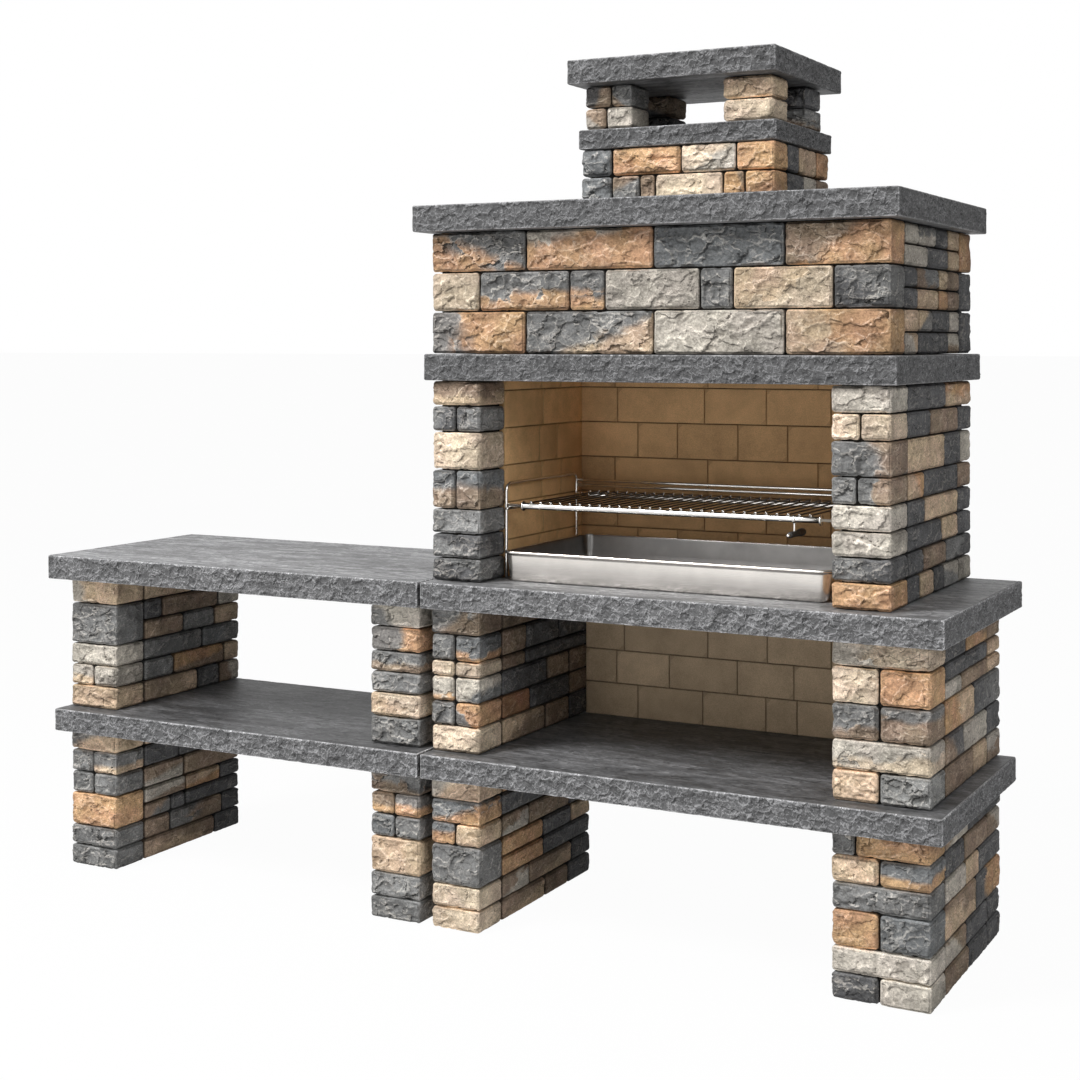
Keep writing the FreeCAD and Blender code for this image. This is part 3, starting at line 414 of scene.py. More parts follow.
def kind_of(word, chance):
    """What a word says of a stone: its kind, then in small letters its patch, with arrows and tenths.

    The arrows give the side on which the patch lies, and the tenths its share of the stone.
    """
    kinds = [letter for letter in word if letter.isalpha() and letter != "v"]
    tint = np.array(STONE_COLOURS[kinds[0]]) * chance.uniform(0.9, 1.1)
    stain, share = tint * chance.uniform(0.7, 1.2), chance.uniform(0.2, 0.5)
    if len(kinds) > 1:
        tenths = [int(letter) for letter in word if letter.isdigit()]
        stain = np.array(STONE_COLOURS[kinds[1].upper()]) * chance.uniform(0.9, 1.1)
        share = tenths[0] / 10 if tenths else 0.5
    arrows = [PATCH_SIDES[letter] for letter in word if letter in PATCH_SIDES]
    angle = chance.uniform(0, 2 * math.pi)
    way = np.sum(arrows, 0) if arrows else np.array((math.cos(angle), math.sin(angle)))
    rocky = chance.uniform(0.9, 1.15) * (1.06 if kinds[0] in SLATES else 0.85)
    return tint, stain, 2 * share - 1, way / np.linalg.norm(way), rocky


def laid_block(points, facing, rim, rocky, lo, hi, chance, stretch=1.0):
    """What a block's points carry for its splitting and its finish."""
    own_grain = (points.reshape(-1, 3) - (lo + hi) / 2) * stretch + chance.uniform(-40, 40, 3)
    return {"outward": facing.reshape(-1, 3), "rim": rim.ravel(), "rock": rocky.ravel(), "grain": own_grain}


def blocks_mesh(name, blocks):
    """One mesh of blocks, each given as its rows of points and what these carry."""
    verts, faces, fields, start = [], [], {}, 0
    for points, carried in blocks:
        rows, columns = points.shape[:2]
        faces += grid_faces(rows, columns, start)
        start += rows * columns
        verts.append(points.reshape(-1, 3))
        for key, values in carried.items():
            fields.setdefault(key, []).append(values)
    mesh = bpy.data.meshes.new(name)
    mesh.from_pydata(np.concatenate(verts).tolist(), [], faces)
    kinds = {1: ("FLOAT", "value"), 3: ("FLOAT_VECTOR", "vector"), 4: ("FLOAT_COLOR", "color")}
    for key, parts in fields.items():
        values = np.concatenate(parts).astype(np.float32)
        kind, field = kinds[1 if values.ndim == 1 else values.shape[1]]
        mesh.attributes.new(key, kind, "POINT").data.foreach_set(field, values.ravel())
    return mesh


# A stone this close to a side of its node's box shows that side
AT_FACE = 0.002
OPEN_JOINT = 0.0014
FRONT_CELL, SIDE_CELL, HIDDEN_CELL = 0.0038, 0.0068, 0.03
FRONT_ROCK, SIDE_ROCK, HIDDEN_ROCK = 1.0, 0.42, 0.03
mortar_blocks = []


def split_stones(name, laid, seed, tone):
    """Laid stones as rows of points, with all that the splitting and the finish read from them."""
    chance = np.random.default_rng(seed)
    low, high = (np.array(corner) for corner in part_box(name))
    stones = []
    for (lo, hi), word in laid:
        front, left = lo[1] < low[1] + AT_FACE, lo[0] < low[0] + AT_FACE
        back, right = hi[1] > high[1] - AT_FACE, hi[0] > high[0] - AT_FACE
        shown = (front, right, back, left)
        mortar_blocks.append((lo, hi, shown))
        lo = lo + OPEN_JOINT * np.array((not left, not front, lo[2] > AT_FACE))
        hi = hi - OPEN_JOINT * np.array((not right, not back, 1))
        rock = [SIDE_ROCK if seen else HIDDEN_ROCK for seen in shown]
        cells = [SIDE_CELL if seen else HIDDEN_CELL for seen in shown]
        if front:
            rock[0], cells[0] = FRONT_ROCK, FRONT_CELL
        edge = min(chance.uniform(0.0075, 0.011), 0.3 * float((hi - lo).min()))
        rise = FRONT_CELL if front else SIDE_CELL
        points, facing, rim, rocky = block_grid(lo, hi, edge, cells, rise, rock)
        tint, stain, patch, way, rougher = kind_of(word, chance)
        stretch = chance.uniform(0.8, 1.2) * np.array((0.9, 0.9, 1.15))
        carried = laid_block(points, facing, rim, rocky * rougher, lo, hi, chance, stretch)
        local = (points.reshape(-1, 3) - (lo + hi) / 2) / (hi - lo) * 2
        carried["patch"] = local[:, 0 if front else 1] * way[0] + local[:, 2] * way[1] + patch
        for key, colour in (("tint", tint), ("stain", stain)):
            carried[key] = np.tile(colour * tone, (len(local), 1))
        stones.append((points, carried))
    return stones


def baked(name, mesh, tree, chosen):
    """The mesh that a Geometry Nodes tree makes of another, with the tree's inputs chosen by label."""
    raw = bpy.data.objects.new(name + "_raw", mesh)
    bpy.context.scene.collection.objects.link(raw)
    modifier = raw.modifiers.new(tree.name, "NODES")
    modifier.node_group = tree
    for item in tree.interface.items_tree:
        if item.in_out == "INPUT" and item.name in chosen:
            modifier[item.identifier] = chosen[item.name]
    graph = bpy.context.evaluated_depsgraph_get()
    made = bpy.data.meshes.new_from_object(
        raw.evaluated_get(graph), preserve_all_data_layers=True, depsgraph=graph)
    bpy.data.objects.remove(raw)
    made.name = name
    return made


def finished(name, mesh, body, slot, *nodes):
    """A mesh as a smooth piece that rides on its body, in place of the nodes that it stands for; the slot is
    not used.
    """
    mesh.polygons.foreach_set("use_smooth", np.ones(len(mesh.polygons), bool))
    piece = bpy.data.objects.new(name, mesh)
    bpy.context.scene.collection.objects.link(piece)
    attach(piece, body)
    if nodes:
        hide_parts(*nodes)
    return piece


def stonework(name, laid, seed, tone=1.0):
    """Split stones that stand for a node of the frame; a tone under 1 darkens them as painted shade."""
    chosen = {"Facet height": FACET_HEIGHT, "Facet size": FACET_SIZE,
              "Nick depth": 0.0045, "Grain depth": 0.0016, "Material": split_stone}
    sawn = blocks_mesh(name + "_stones", split_stones(name, laid, seed, tone))
    mesh = baked(name + "_stone", sawn, split_face, chosen)
    finished(name + "_stone", mesh, "barbecue", "split_stone", name)


def with_kinds(lifts, words):
    """Give each stone its kind: lifts are parted by semicolons, front stones and side stones by a bar."""
    laid = []
    for (fronts, sides), text in zip(lifts, words.split(";")):
        for stones, kinds in zip((fronts, sides), text.split("|")):
            kinds = kinds.split()
            laid += [(stone, kinds[number % len(kinds)]) for number, stone in enumerate(stones)]
    return laid


# Stone by stone from the ground up
PIER_STONES = {
    "table_outer_pier_lower": "S|Tn K; S|N Ns K; O|Ns K K Gn Ot K; S S|Gn N; S Stv4|K K; Ts<^4|T N",
    "table_outer_pier_upper": "T|Tn K Ng; Gt G|S On T; G|S Sb; S|N S T K N G; Tg<4|T N",
    "table_inner_pier_lower": "S|K N; S|N K; T|O K; B S|K T; Nov4 Os^4|N K; Sn4|K N",
    "table_inner_pier_upper": "S|N K; Ct|K T; S|K N; Snv4|T K; Os<5|K N; Gs3|N K",
    "left_pier_lower": "C|Tn N K; C|Gn Tn K; S|O K O K T; Bov T|Ng N K; Bov>4|K N T; Gt|O K",
    "left_pier_upper": "C|Tn N K; S Os3|R K N; Gov3 Gb3|K N N; C C|N K; S Bov2|N K K; Sn4|N K",
    "right_pier_lower": "K G|N K K; G|Ng K K; O B|Tn Ko; S|G T K; T Bov4|K N Gn; S O|Ng K",
    "right_pier_upper": "T A|N T Gn; Gc4|Nk G K; Snv4 Ns^4|Ot Sk; C O|G N T K K T; Cg<3|K No N",
}
for seed, (name, kinds) in enumerate(PIER_STONES.items()):
    stonework(name, with_kinds(pier_order(name), kinds), seed)


# Slabs of the table and the cooking unit
# Dark slate slabs, riven on top and split along their edges, lie loose on the piers in two levels.
# They meet in a plain joint between the table and the cooking unit.
SPLIT_HEIGHT, SPLIT_SIZE = 0.0065, 0.026


def slate_material():
    """Dark slate: streaked and riven on top with a painted sheen, and pale veins and a crackle where its edge
    is split; its pale lips are painted highlights and its dark hollows painted shadows.
    """
    lip_reach = 0.003
    streak_lie = {"Rotation": (0, 0, 0.35), "Scale": (13.0, 27.0, 9.0)}
    material, tree, shader = shader_tree("slate")
    place = attribute(tree, "grain", "Vector")
    broken = reckon(tree, "MINIMUM", reckon(tree, "MULTIPLY", attribute(tree, "rock"), 1.6), 1.0)
    height, _, painted_lip_highlight, painted_hollow_shadow = painted_lips_and_shadows(tree, place, SPLIT_SIZE, lip_reach)
    turned = add_node(tree, "ShaderNodeMapping", {"Vector": place, **streak_lie}).outputs[0]
    streaks = noise(tree, turned, 1.0, 5.0, 0.62, 1.6)
    clouds = noise(tree, place, 7.0, 5.0, 0.6, 0.6)
    sand = ramp(tree, noise(tree, place, 210.0, 4.0, 0.75), 0.25, 0.75, 0.8, 1.2)
    # Painted sheen: the streaks and clouds lift the top's tone above that of the edges, up to 1.56 and 1.34
    # times.
    streaked = ramp(tree, streaks, 0.34, 0.66, 0.7, 1.56)
    clouded = ramp(tree, clouds, 0.34, 0.66, 0.8, 1.34)
    # Painted highlight on the lips and painted shadow in the hollows of the riven top.
    riven = reckon(tree, "MULTIPLY_ADD", painted_hollow_shadow, -0.42, one_and(tree, 0.6, painted_lip_highlight))
    top_tone = product(tree, streaked, clouded, sand, riven)
    patches = ramp(tree, noise(tree, place, 26.0, 3.0, 0.6), 0.3, 0.7, 0.74, 1.2)
    # Painted highlight on the lips of the split edge, and painted shadow in its hollows.
    crackle = reckon(tree, "MULTIPLY_ADD", painted_lip_highlight, 1.05, 0.66)
    edge_tone = product(tree, sand, patches, crackle, one_and(tree, -0.55, painted_hollow_shadow))
    tones = {0: broken, 2: top_tone, 3: edge_tone}
    tone = add_node(tree, "ShaderNodeMix", tones, data_type="FLOAT").outputs[0]
    curl = reckon(tree, "ABSOLUTE", reckon(tree, "SUBTRACT", noise(tree, place, 13.0, 4.0, 0.55, 1.4), 0.5))
    here_and_there = ramp(tree, noise(tree, place, 5.0, 1.0), 0.46, 0.58)
    vein = reckon(tree, "MULTIPLY", ramp(tree, curl, 0.0, 0.009, 0.9, 0.0), here_and_there)
    # Painted highlight: the rounded edges are made up to 2.6 times paler.
    painted_arris_highlight = ramp(tree, attribute(tree, "rim"), 0.001, 0.0045, 2.6, 1.0)
    value = product(tree, reckon(tree, "MULTIPLY_ADD", tone, painted_arris_highlight, vein), attribute(tree, "tone"))
    dull = ramp(tree, reckon(tree, "MULTIPLY_ADD", broken, 0.8, clouds), 0.3, 1.2, 0.48, 0.82)
    ripples = reckon(tree, "MULTIPLY", streaks, 0.12)
    relief = reckon(tree, "MULTIPLY_ADD", height, reckon(tree, "MAXIMUM", broken, 0.5), ripples)
    relief = reckon(tree, "MULTIPLY_ADD", noise(tree, place, 190.0, 4.0, 0.65), 0.2, relief)
    set_inputs(tree, shader, {
        "Base Color": toned(tree, shade(107, 107, 108), value), "Roughness": dull,
        "Specular IOR Level": 0.45, "Normal": bumped(tree, relief, 0.65, SPLIT_HEIGHT),
    })
    return material


slate = slate_material()
SLAB_EDGE, SLAB_ROOM, SLAB_RISE = 0.0045, 0.0042, 0.0044
# Front, right, back and left side
SLAB_CELLS, SLAB_ROCK = (0.004, 0.005, 0.008, 0.006), (1.0, 0.8, 0.8, 0.8)
EDGE_RINGS, INNER_RINGS = (0.007, 0.012, 0.025), (0.06, 0.12, 0.19)
RIVEN_STRETCH = np.array((0.3, 0.62, 1.0))


def smoke_hole(name):
    """Lowest and highest corner of the way for the smoke through a slab, or nothing."""
    narrowest_rim = 0.03
    low, high = (np.array(corner)[:2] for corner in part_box(name))
    spots = np.array([vert.co[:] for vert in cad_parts[name].data.vertices])
    flat = spots[:, :2]
    inside = np.all((flat > low + narrowest_rim) & (flat < high - narrowest_rim), axis=1)
    return (spots[inside].min(0), spots[inside].max(0)) if inside.any() else None


def cut_hole(mesh, hole):
    """Take the closing faces off a slab and close it round a rectangular hole instead."""
    bm = bmesh.new()
    bm.from_mesh(mesh)
    closing = (face for face in bm.faces if len(face.verts) > 4)
    lids = sorted(closing, key=lambda face: face.calc_center_median().z)
    carried, grain = bm.verts.layers.float.values(), bm.verts.layers.float_vector["grain"]
    (x0, y0, _), (x1, y1, _) = hole
    rings = []
    for lid in lids:
        pattern, border = lid.verts[0], list(lid.edges)
        bm.faces.remove(lid)
        places = ((x0, y0), (x1, y0), (x1, y1), (x0, y1))
        corners = [bm.verts.new((x, y, pattern.co.z)) for x, y in places]
        for corner in corners:
            for layer in carried:
                corner[layer] = pattern[layer]
            step = np.array(corner.co - pattern.co) * RIVEN_STRETCH
            corner[grain] = (np.array(pattern[grain]) + step).tolist()
        inner = [bm.edges.new((corners[number - 1], corners[number])) for number in range(4)]
        bmesh.ops.triangle_fill(bm, edges=border + inner, use_beauty=True)
        rings.append(corners)
    for number in range(4):
        (a, b), (c, d) = ((ring[number - 1], ring[number]) for ring in rings)
        bm.faces.new((a, b, d, c))
    bmesh.ops.recalc_face_normals(bm, faces=bm.faces)
    bm.to_mesh(mesh)
    bm.free()


def slab(name, seed, tone=1.0, top=1.0):
    """A slate slab with split edges that stands for a node of the frame.

    A tone under 1 darkens the whole slab and a top under 1 darkens its top alone, both as painted shade.
    """
    chance = np.random.default_rng(100 + seed)
    lo, hi = (np.array(corner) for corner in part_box(name))
    lo[:2] += SLAB_ROOM
    hi[:2] -= SLAB_ROOM
    hole = smoke_hole(name)
    caps = EDGE_RINGS if hole else EDGE_RINGS + INNER_RINGS
    points, facing, rim, rocky = block_grid(lo, hi, SLAB_EDGE, SLAB_CELLS, SLAB_RISE, SLAB_ROCK, caps)
    level = np.abs(facing.reshape(-1, 3)[:, 2:]) > 0.99
    stretch = np.where(level, RIVEN_STRETCH, 1.0)
    carried = laid_block(points, facing, rim, rocky, lo, hi, chance, stretch)
    # Painted shade on the top alone, and on the whole slab where the tone is under 1.
    carried["tone"] = np.where(level[:, 0], top, 1.0) * tone
    mesh = blocks_mesh(name, [(points, carried)])
    if hole:
        cut_hole(mesh, hole)
    chosen = {"Facet height": SPLIT_HEIGHT, "Facet size": SPLIT_SIZE,
              "Nick depth": 0.0014, "Grain depth": 0.0008, "Material": slate}
    finished(name + "_slate", baked(name + "_slate", mesh, split_face, chosen), "barbecue", "slate", name)


# Painted shade: the tops of the shelves, under the slabs above them, are made darker than their edges.
SLAB_TOP_SHADE = {"table_shelf": 0.46, "main_shelf": 0.58, "table_top": 1.0, "worktop": 1.0}
for seed, (name, top) in enumerate(SLAB_TOP_SHADE.items()):
    slab(name, seed, top=top)


# Cheeks and back wall of the firebox
# Split stone walls stand on the worktop at both ends and behind, laid as the piers are, with corner stones
# as wide as the cheek.
CHEEK_STONES = {
    "left_cheek": "Ks4|N K; Sk|K T; S|Gn K; Bnv Bnv|K N; C|T K; Sk Sk|N K; Ntv4|K T",
    "right_cheek": "O|K T K Gs G; Sk|K N Sk; G|K T K; G|K T K; S Sn>4|Ot K N; Sn3|T K G; C C|K N K; G|K Ot",
}
for seed, (name, kinds) in enumerate(CHEEK_STONES.items(), 10):
    stonework(name, with_kinds(pier_order(name), kinds), seed)


def by_course(blocks):
    """Blocks course by course from below, each course from the left and from the front."""
    return sorted(blocks, key=lambda block: (bed_height(block), block[0][0], block[0][1]))


WALL_KINDS = "S N K G On K S T K Sn C K N S Gt".split()
wall = enumerate(by_course(blocks_of("back_wall")))
stonework("back_wall", [(block, WALL_KINDS[number % len(WALL_KINDS)]) for number, block in wall], 12)


# Firebrick lining
# Pressed firebricks stand on edge inside the firebox and close the back of the middle compartment.
# Their faces are plain and sandy, laid with hair joints and browned by the fire.
def firebrick_material():
    """Fired clay: each brick its own tone, with sandy grain and darker specks."""
    material, tree, shader = shader_tree("firebrick")
    place = attribute(tree, "grain", "Vector")
    clouds = ramp(tree, noise(tree, place, 14.0, 4.0, 0.6), 0.28, 0.72, 0.88, 1.1)
    sand = ramp(tree, noise(tree, place, 420.0, 4.0, 0.7), 0.25, 0.75, 0.78, 1.2)
    dark_arris = ramp(tree, attribute(tree, "rim"), 0.0004, 0.003, 0.7, 1.0)
    pits = noise(tree, place, 380.0, 5.0, 0.7)
    set_inputs(tree, shader, {
        "Base Color": toned(tree, attribute(tree, "tint", "Color"), product(tree, clouds, sand, dark_arris)),
        "Roughness": 0.9, "Specular IOR Level": 0.2, "Normal": bumped(tree, pits, 0.5, 0.0015),
    })
    return material


firebrick = firebrick_material()
BRICK_JOINT, BRICK_EDGE, BRICK_CELL, HIDDEN_BRICK_CELL = 0.0006, 0.0016, 0.014, 0.05
MORTAR_TUCK = 0.010


def bricks(name, sides, colour, seed):
    """Firebricks that stand for a node of the frame, with the sides of the wall that are seen."""
    chance = np.random.default_rng(seed)
    shown = [number in sides for number in range(4)]
    cells = [BRICK_CELL if seen else HIDDEN_BRICK_CELL for seen in shown]
    along = np.array((shown[0] or shown[2], shown[1] or shown[3], False), float)
    joint = BRICK_JOINT * (along + (0, 0, 1))
    laid = []
    for lo, hi in by_course(blocks_of(name)):
        mortar_blocks.append((lo - MORTAR_TUCK * along, hi + MORTAR_TUCK * along, shown))
        lo, hi = lo + joint, hi - joint
        points, facing, rim, rocky = block_grid(lo, hi, BRICK_EDGE, cells, BRICK_CELL, np.array(shown, float))
        carried = laid_block(points, facing, rim, rocky, lo, hi, chance)
        carried["tint"] = np.tile(np.array(colour) * chance.uniform(0.9, 1.1), (rim.size, 1))
        laid.append((points, carried))
    chosen = {"Facet height": 0.0003, "Facet size": 0.09,
              "Nick depth": 0.0008, "Grain depth": 0.0005, "Material": firebrick}
    mesh = baked(name + "_brick", blocks_mesh(name, laid), split_face, chosen)
    finished(name + "_brick", mesh, "barbecue", "firebrick", name)


# Painted light: the left lining takes a paler clay than the others, so that it looks more brightly lit.
WARM_CLAY, PAINTED_LIGHT_CLAY, PALE_CLAY = shade(210, 170, 124), shade(236, 192, 138), shade(194, 171, 142)
LINING = (
    ("back_lining", (0,), WARM_CLAY), ("left_lining", (1,), PAINTED_LIGHT_CLAY),
    ("right_lining", (3,), WARM_CLAY), ("compartment_back", (0, 2), PALE_CLAY),
)
for seed, (name, sides, colour) in enumerate(LINING, 20):
    bricks(name, sides, colour, seed)


# Lintel, hood and hood slab
# A slate slab bridges the firebox, three hollow courses of split stone stand on it, and a wider slab lies
# on top. The smoke goes up through holes in both slabs. The stone and the slabs here are darkened as
# painted shade, for the weaker light high up.
# Painted shade: the lintel, the hood and the slabs high up are darkened, for the weaker light there.
PAINTED_UPPER_SHADE = 0.74
slab("lintel", 4, PAINTED_UPPER_SHADE)


def ring_order(name):
    """Blocks of a ring: the front from the left, the back from the left, then both sides row by row."""
    low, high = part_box(name)
    parts = {"front": [], "back": [], "right": [], "left": []}
    for block in blocks_of(name):
        lo, hi = block
        if lo[1] < low.y + AT_FACE:
            parts["front"].append(block)
        elif hi[1] > high.y - AT_FACE:
            parts["back"].append(block)
        else:
            parts["right" if hi[0] > high.x - AT_FACE else "left"].append(block)
    for side in ("front", "back"):
        parts[side].sort(key=lambda block: block[0][0])
    for side in ("right", "left"):
        parts[side].sort(key=lambda block: (bed_height(block), block[0][1]))
    return parts


def ring_kinds(name, words):
    """Kinds for a ring's front, back and right side; the left side takes those of the right in turn."""
    front, back, right = (part.split() for part in words.split("|"))
    kinds = {"front": front, "back": back, "right": right, "left": right[::-1]}
    return [(stone, kinds[side][number % len(kinds[side])])
            for side, stones in ring_order(name).items() for number, stone in enumerate(stones)]


HOOD_STONES = {
    "hood_lower_course": "Os<3 St>v4 G Ot<4|S N G K|Tg K K Ng T Ts K G",
    "hood_middle_course": "C Sov4 Sov4 G S Ct Sk|N S C K|K T O N K Sn T N",
    "hood_upper_course": "So<v4 Og<^2 B On4|G N S O|G K T G Gs K T",
}
for seed, (name, kinds) in enumerate(HOOD_STONES.items(), 30):
    stonework(name, ring_kinds(name, kinds), seed, PAINTED_UPPER_SHADE)
slab("hood_slab", 5, PAINTED_UPPER_SHADE)


# Chimney
# Two small courses of split stone, a slate collar, four short posts that leave the smoke outlets open, and a
# slate cap over them, laid as the piers and their slabs are.
CHIMNEY_STONES = {
    "chimney_lower_course": "B Sn4 N C On3 O|S T N|K G",
    "chimney_upper_course": "B O Gc O|N S O|K T",
}
for seed, (name, kinds) in enumerate(CHIMNEY_STONES.items(), 40):
    stonework(name, ring_kinds(name, kinds), seed)
# The collar and the cap take the same painted shade.
slab("chimney_collar", 6, PAINTED_UPPER_SHADE)
POST_STONES = {
    "front_left_post": "Ng3 G Nk Sn3", "front_right_post": "C T",
    "back_left_post": "K Kn", "back_right_post": "Sn K",
}
for seed, (name, kinds) in enumerate(POST_STONES.items(), 50):
    stonework(name, list(zip(by_course(blocks_of(name)), kinds.split())), seed)
slab("chimney_cap", 7, PAINTED_UPPER_SHADE)


# Bedding mortar
# Mortar fills the joints behind the faces of stones and bricks, a thumb's width back from the open edges, so
# that the joints look deep: its near-black colour is painted shade.
def mortar_beds():
    """A box of mortar behind the face of every stone and brick laid so far."""
    back_from_face, overlap, bed = 0.02, 0.0004, 0.0015
    box_faces = ((3, 2, 1, 0), (4, 5, 6, 7), (0, 1, 5, 4), (1, 2, 6, 5), (2, 3, 7, 6), (3, 0, 4, 7))
    verts, faces = [], []
    for lo, hi, shown in mortar_blocks:
        front, right, back, left = (back_from_face if seen else -overlap for seen in shown)
        lo = lo + np.array((left, front, bed))
        hi = hi - np.array((right, back, -bed))
        start = len(verts)
        for z in (lo[2], hi[2]):
            verts += [(lo[0], lo[1], z), (hi[0], lo[1], z), (hi[0], hi[1], z), (lo[0], hi[1], z)]
        faces += [[start + corner for corner in face] for face in box_faces]
    mesh = bpy.data.meshes.new("mortar_beds")
    mesh.from_pydata(verts, [], faces)
    mesh.materials.append(joint_shade_mortar)
    piece = finished("mortar_beds", mesh, "barbecue", "split_stone")
    piece.data.polygons.foreach_set("use_smooth", np.zeros(len(faces), bool))


mortar_beds()


# Charcoal tray
# A pan drawn from stainless sheet with sloping walls, round corners and a rim rolled outwards into a bead.
# It lies loose on the worktop and is drawn out to the front; its inside is dulled by heat.
def steel_material(name, colour, rough, brushing, cloud=0.06):
    """Stainless steel with fine brushing, by its lines a metre along each axis, and a bloom from heat."""
    material, tree, shader = shader_tree(name)
    place = add_node(tree, "ShaderNodeTexCoord").outputs["Object"]
    brushed = noise(tree, combine(tree, "MULTIPLY", place, brushing), 1.0, 4.0, 0.6)
    lines = ramp(tree, brushed, 0.3, 0.7, 0.996, 1.004)
    bloom = ramp(tree, noise(tree, place, 9.0, 4.0, 0.6), 0.3, 0.7, 1 - cloud, 1 + cloud)
    set_inputs(tree, shader, {
        "Base Color": toned(tree, colour, product(tree, lines, bloom)), "Metallic": 1.0,
        "Roughness": ramp(tree, brushed, 0.3, 0.7, rough * 0.985, rough * 1.015),
        "Normal": bumped(tree, brushed, 0.004, 0.0003),
    })
    return material


sheet_steel = steel_material("sheet_steel", shade(232, 227, 221), 0.27, (6.0, 700.0, 700.0))
dull_steel = steel_material("dull_steel", shade(122, 120, 118), 0.34, (6.0, 500.0, 500.0), 0.14)


def closed_mesh(name, verts, faces, *materials):
    """A closed mesh with its faces turned outwards."""
    mesh = bpy.data.meshes.new(name)
    mesh.from_pydata([tuple(spot) for spot in verts], [], faces)
    bm = bmesh.new()
    bm.from_mesh(mesh)
    bmesh.ops.recalc_face_normals(bm, faces=bm.faces)
    bm.to_mesh(mesh)
    bm.free()
    for material in materials:
        mesh.materials.append(material)
    return mesh


def arc(start, end, steps):
    """Cosine and sine at even steps of a turn in degrees."""
    return [(math.cos(angle), math.sin(angle)) for angle in np.radians(np.linspace(start, end, steps))]


RIM_BEAD = 0.004


def pan_profile(tall):
    """Sheet of the pan from under its floor, up outside, round the bead and down inside: inset and height."""
    sheet, bend, slope = 0.002, 0.010, math.tan(math.radians(7))
    rim_inset, floor_ring = 0.0055, 0.03
    levels = (0.014, 0.03, 0.05)

    def wall(height):
        return rim_inset + (tall - height) * slope

    def foot(lift, start, end):
        middle = wall(0) + lift + bend
        return [(middle + bend * c, lift + bend + bend * s) for c, s in arc(start, end, 7)]

    floor = wall(0) + bend + floor_ring
    outside = [(floor, 0.0)] + foot(0.0, 270, 190)
    outside += [(wall(height), height) for height in levels + (0.066,)]
    outside += [(RIM_BEAD + RIM_BEAD * c, tall + RIM_BEAD * s) for c, s in arc(-62, -330, 16)]
    inside = [(wall(height) + sheet, height) for height in (0.07,) + levels[::-1]]
    return outside, inside + foot(sheet, 190, 270) + [(floor, sheet)]


def tray():
    """The pan as rings with round corners, from under its floor over the rim to its floor inside."""
    rim_turn, tightest = 0.0327, 0.006
    lo, hi = (np.array(corner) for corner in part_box("charcoal_tray"))
    half, middle = (hi - lo) / 2, (hi + lo) / 2
    outside, inside = pan_profile(hi[2] - lo[2] - RIM_BEAD)
    rows = []
    for inset, height in outside + inside:
        turn = max(rim_turn - inset, tightest)
        ring = []
        for number, (right, back) in enumerate(((1, -1), (1, 1), (-1, 1), (-1, -1))):
            x = middle[0] + right * (half[0] - inset - turn)
            y = middle[1] + back * (half[1] - inset - turn)
            quarter = arc(90 * (number - 1), 90 * number, 9)
            ring += [(x + turn * c, y + turn * s, lo[2] + height) for c, s in quarter]
        rows.append(ring)
    rows = np.array(rows)
    columns = rows.shape[1]
    faces = grid_faces(len(rows), columns, 0)
    mesh = closed_mesh("tray_pan", rows.reshape(-1, 3), faces, sheet_steel, dull_steel)
    inner = np.zeros(len(mesh.polygons), np.int32)
    inner[(len(outside) - 1) * columns:] = 1
    underside = -2
    inner[underside] = 0
    mesh.polygons.foreach_set("material_index", inner)
    finished("tray_pan", mesh, "tray", "sheet_steel", "charcoal_tray")


tray()


# Grate stand
# Two hoops of bent round bar stand on the worktop, with runners for the grate welded inside them and two
# guard rails across the back.
bar_steel = steel_material("bar_steel", shade(224, 222, 218), 0.18, (300.0, 300.0, 300.0))


def bar_mesh(name, path, radius, material, sides=14):
    """A round bar swept along a path of points, with eased ends."""
    ease = 0.35 * radius
    path = np.array(path, float)
    ways = np.gradient(path, axis=0)
    ways /= np.linalg.norm(ways, axis=1)[:, None]
    first_end = [path[0], path[0] + ways[0] * ease]
    last_end = [path[-1] - ways[-1] * ease, path[-1]]
    path = np.concatenate((first_end, path[1:-1], last_end))
    ways = np.concatenate(([ways[0]], ways, [ways[-1]]))
    size = np.full(len(path), radius)
    size[[0, -1]] = radius - ease
    up = np.array((1.0, 0, 0)) if abs(ways[0][0]) < 0.5 else np.array((0, 0, 1.0))
    rows = []
    for spot, way, wide in zip(path, ways, size):
        first = np.cross(way, up)
        first /= np.linalg.norm(first)
        second = np.cross(way, first)
        rows.append([spot + wide * (c * first + s * second) for c, s in arc(0, 360, sides + 1)[:-1]])
    rows = np.array(rows)
    return closed_mesh(name, rows.reshape(-1, 3), grid_faces(len(rows), sides, 0), material)


STAND_BAR = 0.004


def stand_bar(name, path, node):
    """A bar of the stand along a path, in place of a node of the frame."""
    finished(name, bar_mesh(name, path, STAND_BAR, bar_steel), "barbecue", "steel_bar", node)


def hoop_path(node):
    """Up at the front, back along the top and down behind."""
    bend, straight = 0.022, 0.05
    lo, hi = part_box(node)
    x, front, back, top = (lo.x + hi.x) / 2, lo.y + STAND_BAR, hi.y - STAND_BAR, hi.z - STAND_BAR
    path = [(x, front, z) for z in (lo.z, lo.z + straight, top - bend - straight)]
    path += [(x, front + bend - bend * c, top - bend + bend * s) for c, s in arc(0, 90, 10)]
    path += [(x, back - bend + bend * s, top - bend + bend * c) for c, s in arc(0, 90, 10)]
    return path + [(x, back, z) for z in (top - bend - straight, lo.z + straight, lo.z)]


def straight_path(node, axis):
    """Through the middle of a node of the frame, along one axis."""
    lo, hi = (np.array(corner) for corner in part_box(node))
    path = np.tile((lo + hi) / 2, (4, 1))
    path[:, axis] = np.linspace(lo[axis], hi[axis], 4)
    return path


